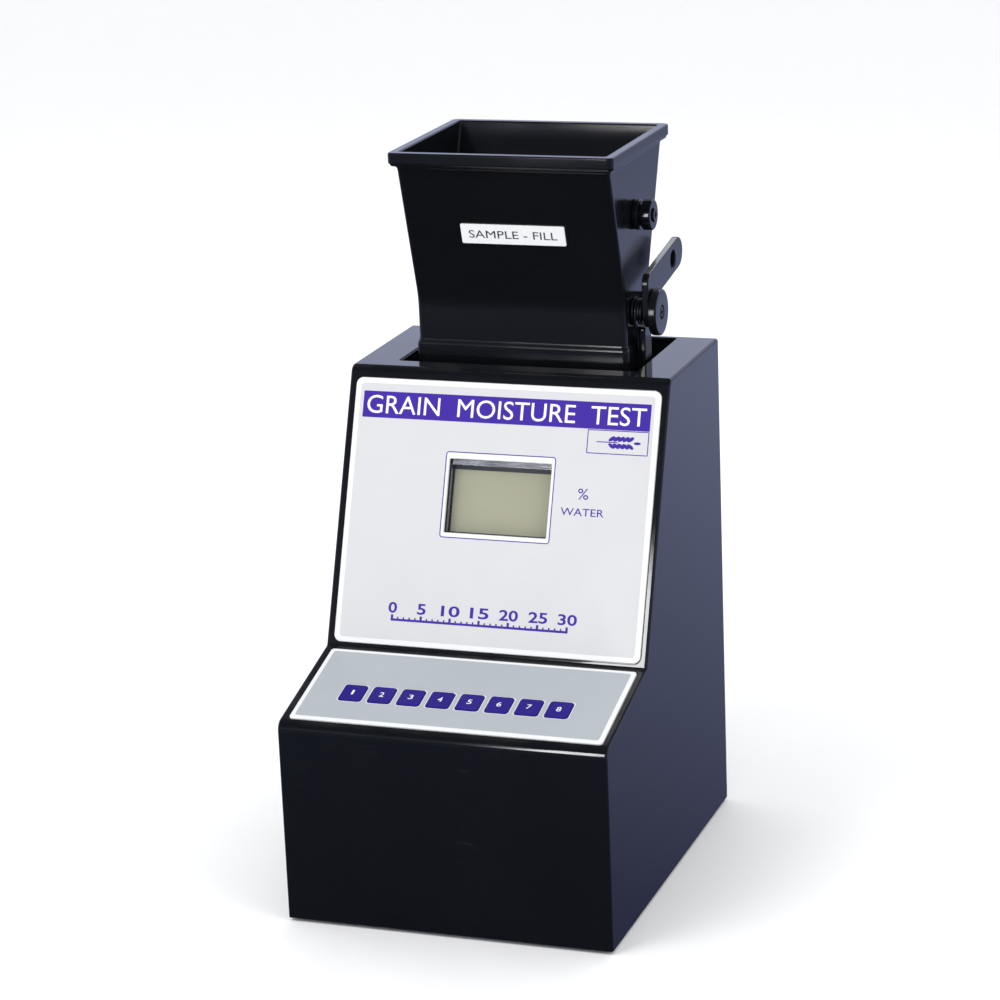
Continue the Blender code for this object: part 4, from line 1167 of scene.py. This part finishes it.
def make_switch():
    """The power switch's flanged body and its rocker with an I and an O."""
    low, high = node_box("power_switch_body")
    flange = (low.x, high.x, low.z, high.z)
    outer = grown(flange, -1.6)
    inner = grown(outer, -1.2)
    wall = CASE_HIGH.y
    levels = [(outer, low.y, 0.6), (outer, wall + GAP, 0.6), (flange, wall + GAP, 1.2)]
    levels += [(grown(flange, -inset), high.y - drop, 1.2) for inset, drop in quarter(0.5)]
    levels += [(grown(inner, 0.3), high.y, 0.6), (inner, high.y - 0.3, 0.5), (inner, wall - 8, 0.5)]
    body = stacked([(rounded_rect(rect, radius, 4), y) for rect, y, radius in levels], "y")
    piece("switch_frame", body, *REAR_LOOKS, ["power_switch_body"])
    low, high = node_box("power_rocker")
    x, y, z = joint_place("power_rocker_tip")
    half, end, dip = ROCKER_HALF, ROCKER_END, ROCKER_DIP
    corners = [(-half, 0.0), (-half, end), (0.0, dip), (half, end), (half, 0.0)]
    outline = rounded_polygon(corners, [0, 0.5, 6.0, 0.5, 0], 6) + arc(0, 0, 3.0, 0, -180, 20)
    tilt = Matrix.Translation((x, y, 0)) @ Matrix.Rotation(math.radians(ROCKER_REST), 4, "Z")
    body = soft_prism(outline, low.z, high.z, low_edge=0.3, high_edge=0.3)
    piece("rocker_cap", body, PLASTIC, "power_rocker", "black_plastic", ["power_rocker"], tilt)
    slope = math.atan2(end - dip, half)
    marks = [
        ("rocker_mark_on", -1, prism(rounded_rect((-0.25, 0.25, -1.6, 1.6), 0.2, 3), 0, INK)),
        ("rocker_mark_off", 1, band(circle(0, 0, 1.5, 32), circle(0, 0, 1.0, 32), 0, INK)),
    ]
    for name, side, bm in marks:
        lean = Matrix.Rotation(side * slope, 4, "Z")
        at = Matrix.Translation((side * half * 0.56, dip + (end - dip) * 0.56 + INK_GAP, z))
        face = tilt @ at @ lean @ Matrix.Rotation(math.radians(-90), 4, "X")
        print_piece(name, bm, (LETTER_WHITE, "power_rocker", "panel_white"), face)


def make_socket():
    """The direct-current inlet: a flanged barrel with a centre contact."""
    low, high = node_box("dc_socket")
    wall = CASE_HIGH.y
    face, floor, contact = wall + GAP, wall - 8, high.y - 2.5
    barrel = [
        (low.y, 0.3, 0), (low.y, 5.0, 0.3), (face, 5.0, 0), (face, 6.6, 0.1), (high.y, 6.6, 0.7),
        (high.y, 2.9, 0.4), (floor, 2.9, 0), (floor, 1.0, 0), (contact, 1.0, 0.4), (contact, 0.2, 0),
    ]
    body = turned(barrel, node_centre("dc_socket", "xz"), "y")
    piece("inlet_barrel", body, *REAR_LOOKS, ["dc_socket"])


def make_feet():
    """Four rubber feet and their cross-head screws."""
    for number, at in enumerate(SCREWS_AT, 1):
        low, high = node_box(f"foot_{number}")
        seat = high.z - 0.5
        pad = [
            (low.z, 7.2, 0.5), (low.z + 1.2, 7.8, 0.5), (high.z, 8.0, 0.3), (high.z, 1.8, 0.1),
            (seat, 1.8, 0.1), (seat, 3.6, 0.1), (low.z, 3.6, 0.4),
        ]
        body = turned(pad, at, "z", closed=True)
        piece(f"foot_pad_{number}", body, RUBBER, "case", "rubber", [f"foot_{number}"])
        node = f"foot_screw_{number}"
        low, high = node_box(node)
        heights = (high.z, low.z + 1.8, low.z)
        sizes = ((1.5, 3.0), (0.4, 0.9))
        looks = (STEEL, "case", "steel")
        make_screw(f"foot_bolt_{number}", node, looks, heights, *sizes, at, "z", (-0.8, 3.4))


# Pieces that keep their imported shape


def keep(node, material):
    """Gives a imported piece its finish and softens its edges."""
    target = frame["nodes"][node]
    target.data.materials.clear()
    target.data.materials.append(material)
    weld = target.modifiers.new("weld", "WELD")
    weld.merge_threshold = 0.002 * MM
    bevel = target.modifiers.new("soften", "BEVEL")
    bevel.width = 0.25 * MM
    bevel.segments = 2
    bevel.limit_method = "ANGLE"
    bevel.angle_limit = math.radians(40)
    shade(target)


def keep_inner_pieces():
    """The well, the test cell, the gate, the boards and the batteries."""
    low, high = node_box("battery_1")
    sleeve = make_cell_sleeve((high.x - low.x) / 2)
    circuit = make_circuit(node_box("main_board")[0].z + 1.7)
    steel = ["cell_body", "cell_bracket", "temperature_sensor", "base_plate", "gate_flap"]
    steel += ["gate_shaft", "gate_screw_1", "gate_screw_2"]
    finishes = [
        (DARK_METAL, ["well_liner"]),
        (BRASS, ["cell_electrode"]),
        (INSULATOR, ["cell_insulator"]),
        (STEEL, steel),
        (SILICONE, ["keypad_mat"]),
        (BOARD, ["keypad_board", "display_board"]),
        (circuit, ["main_board"]),
        (PLASTIC, ["battery_tray"]),
        (sleeve, [f"battery_{number}" for number in range(1, 5)]),
    ]
    for material, nodes in finishes:
        for node in nodes:
            keep(node, material)


# Stage, light and camera


def make_stage():
    """A plain pale floor."""
    half = 9000
    floor = link_mesh("floor", prism(plain_rect(-half, half, -half, half), -10, -0.05))
    tones = ((0.945, 0.945, 0.945), (0.955, 0.955, 0.958))
    made = Finish("floor_paper", tones, (0.7, 0.85), mottle=400.0)
    made.bump(made.noise(3.0, 3.0), 0.02)
    floor.data.materials.append(made.done())
    floor.visible_glossy = False


# Brightness that polished surfaces mirror, by the height of the direction looked in
GLOSS = 1.5
SKY = (
    (-0.60, (0.04, 0.04, 0.05)),
    (-0.40, (0.09, 0.10, 0.20)),
    (-0.30, (0.30, 0.34, 0.56)),
    (-0.24, (0.44, 0.50, 0.78)),
    (-0.18, (0.30, 0.34, 0.54)),
    (0.05, (0.40, 0.45, 0.65)),
    (0.20, (0.84, 0.90, 1.22)),
    (0.32, (0.74, 0.79, 1.05)),
    (0.50, (0.16, 0.17, 0.22)),
    (1.00, (0.05, 0.05, 0.06)),
)


def make_world():
    """A pale room: even light for matt surfaces, and a graded one for polished ones."""
    world = bpy.data.worlds.new("studio")
    bpy.context.scene.world = world
    world.use_nodes = True
    tree = world.node_tree
    tree.nodes.clear()
    coords = add_node(tree, "TexCoord")
    way = add_node(tree, "SeparateXYZ", Vector=coords.outputs["Generated"]).outputs
    height = add_node(tree, "MapRange", Value=way["Z"], From_Min=-1.0)
    ramp = add_node(tree, "ValToRGB", Fac=height.outputs["Result"])
    elements = ramp.color_ramp.elements
    while len(elements) < len(SKY):
        elements.new(0.5)
    for element, (z, colour) in zip(elements, SKY):
        element.position = (z + 1) / 2
        element.color = (*[value / GLOSS for value in colour], 1.0)
    depth = add_node(tree, "MapRange", Value=way["Y"], From_Min=-0.9, From_Max=0.5)
    depth.inputs["To Min"].default_value = 0.33 * GLOSS
    depth.inputs["To Max"].default_value = GLOSS
    graded = (ramp.outputs["Color"], depth.outputs["Result"])
    lights = []
    for colour, strength in (((0.98, 0.985, 1.0, 1.0), 1.07), graded, ((1.0, 1.0, 1.0, 1.0), 1.0)):
        lights.append(add_node(tree, "Background", Color=colour, Strength=strength).outputs[0])
    path = add_node(tree, "LightPath").outputs
    seen = lights[0]
    for ray, light in zip(("Is Glossy Ray", "Is Camera Ray"), lights[1:]):
        mix = add_node(tree, "MixShader", Fac=path[ray])
        tree.links.new(seen, mix.inputs[1])
        tree.links.new(light, mix.inputs[2])
        seen = mix.outputs[0]
    add_node(tree, "OutputWorld", Surface=seen)


def make_light(name, at, target, size, power, colour=(1, 1, 1)):
    """A soft rectangular light that shines at a target, in metres."""
    light = bpy.data.lights.new(name, "AREA")
    light.shape = "RECTANGLE"
    light.size, light.size_y = size
    light.energy = power
    light.color = colour
    made = linked(name, light)
    made.location = at
    made.rotation_euler = (Vector(target) - Vector(at)).to_track_quat("-Z", "Y").to_euler()
    return made


def make_lights():
    """Two softboxes, a strip behind, and a low strip that only shows in edges and rounds."""
    key = make_light("key_softbox", (-0.9, -1.3, 1.7), (0, 0, 0.2), (0.9, 0.9), 14)
    key.visible_glossy = False
    fill = make_light("fill_softbox", (1.5, -0.8, 1.4), (0, 0, 0.2), (0.7, 0.7), 5)
    fill.visible_glossy = False
    make_light("rear_strip", (0.2, 1.5, 1.3), (0, 0, 0.25), (1.6, 0.25), 4, (0.92, 0.94, 1.0))
    glint = make_light("glint_strip", (-0.30, -1.25, 0.50), (0.08, 0.0, 0.25), (0.08, 0.50), 2.4)
    glint.visible_diffuse = False


def make_camera():
    """The camera's place around the object, in degrees and millimetres."""
    azimuth, elevation, roll = (math.radians(a) for a in (19.80, 16.43, -2.31))
    target = Vector((10.76, -38.0, 222.06))
    distance = 1753.3
    camera = bpy.data.cameras.new("camera")
    camera.lens = 117.45
    camera.sensor_width = 36.0
    camera.clip_end = 30.0
    made = linked("camera", camera)
    back = Vector((
        math.sin(azimuth) * math.cos(elevation),
        -math.cos(azimuth) * math.cos(elevation),
        math.sin(elevation),
    ))
    right = Vector((math.cos(azimuth), math.sin(azimuth), 0))
    up = back.cross(right)
    across = right * math.cos(roll) + up * math.sin(roll)
    above = up * math.cos(roll) - right * math.sin(roll)
    turn = Matrix((across, above, back)).transposed()
    made.matrix_world = Matrix.Translation((target + back * distance) * MM) @ turn.to_4x4()
    bpy.context.scene.camera = made


def main():
    """Builds every piece, then the stage and its light."""
    make_case()
    make_display()
    make_keypad()
    make_hopper()
    make_hopper_label()
    make_gate()
    make_stop()
    make_bushes()
    make_spring()
    make_door()
    make_switch()
    make_socket()
    make_feet()
    keep_inner_pieces()
    make_stage()
    make_world()
    make_lights()
    make_camera()
    bpy.context.scene.view_settings.view_transform = "Standard"


main()
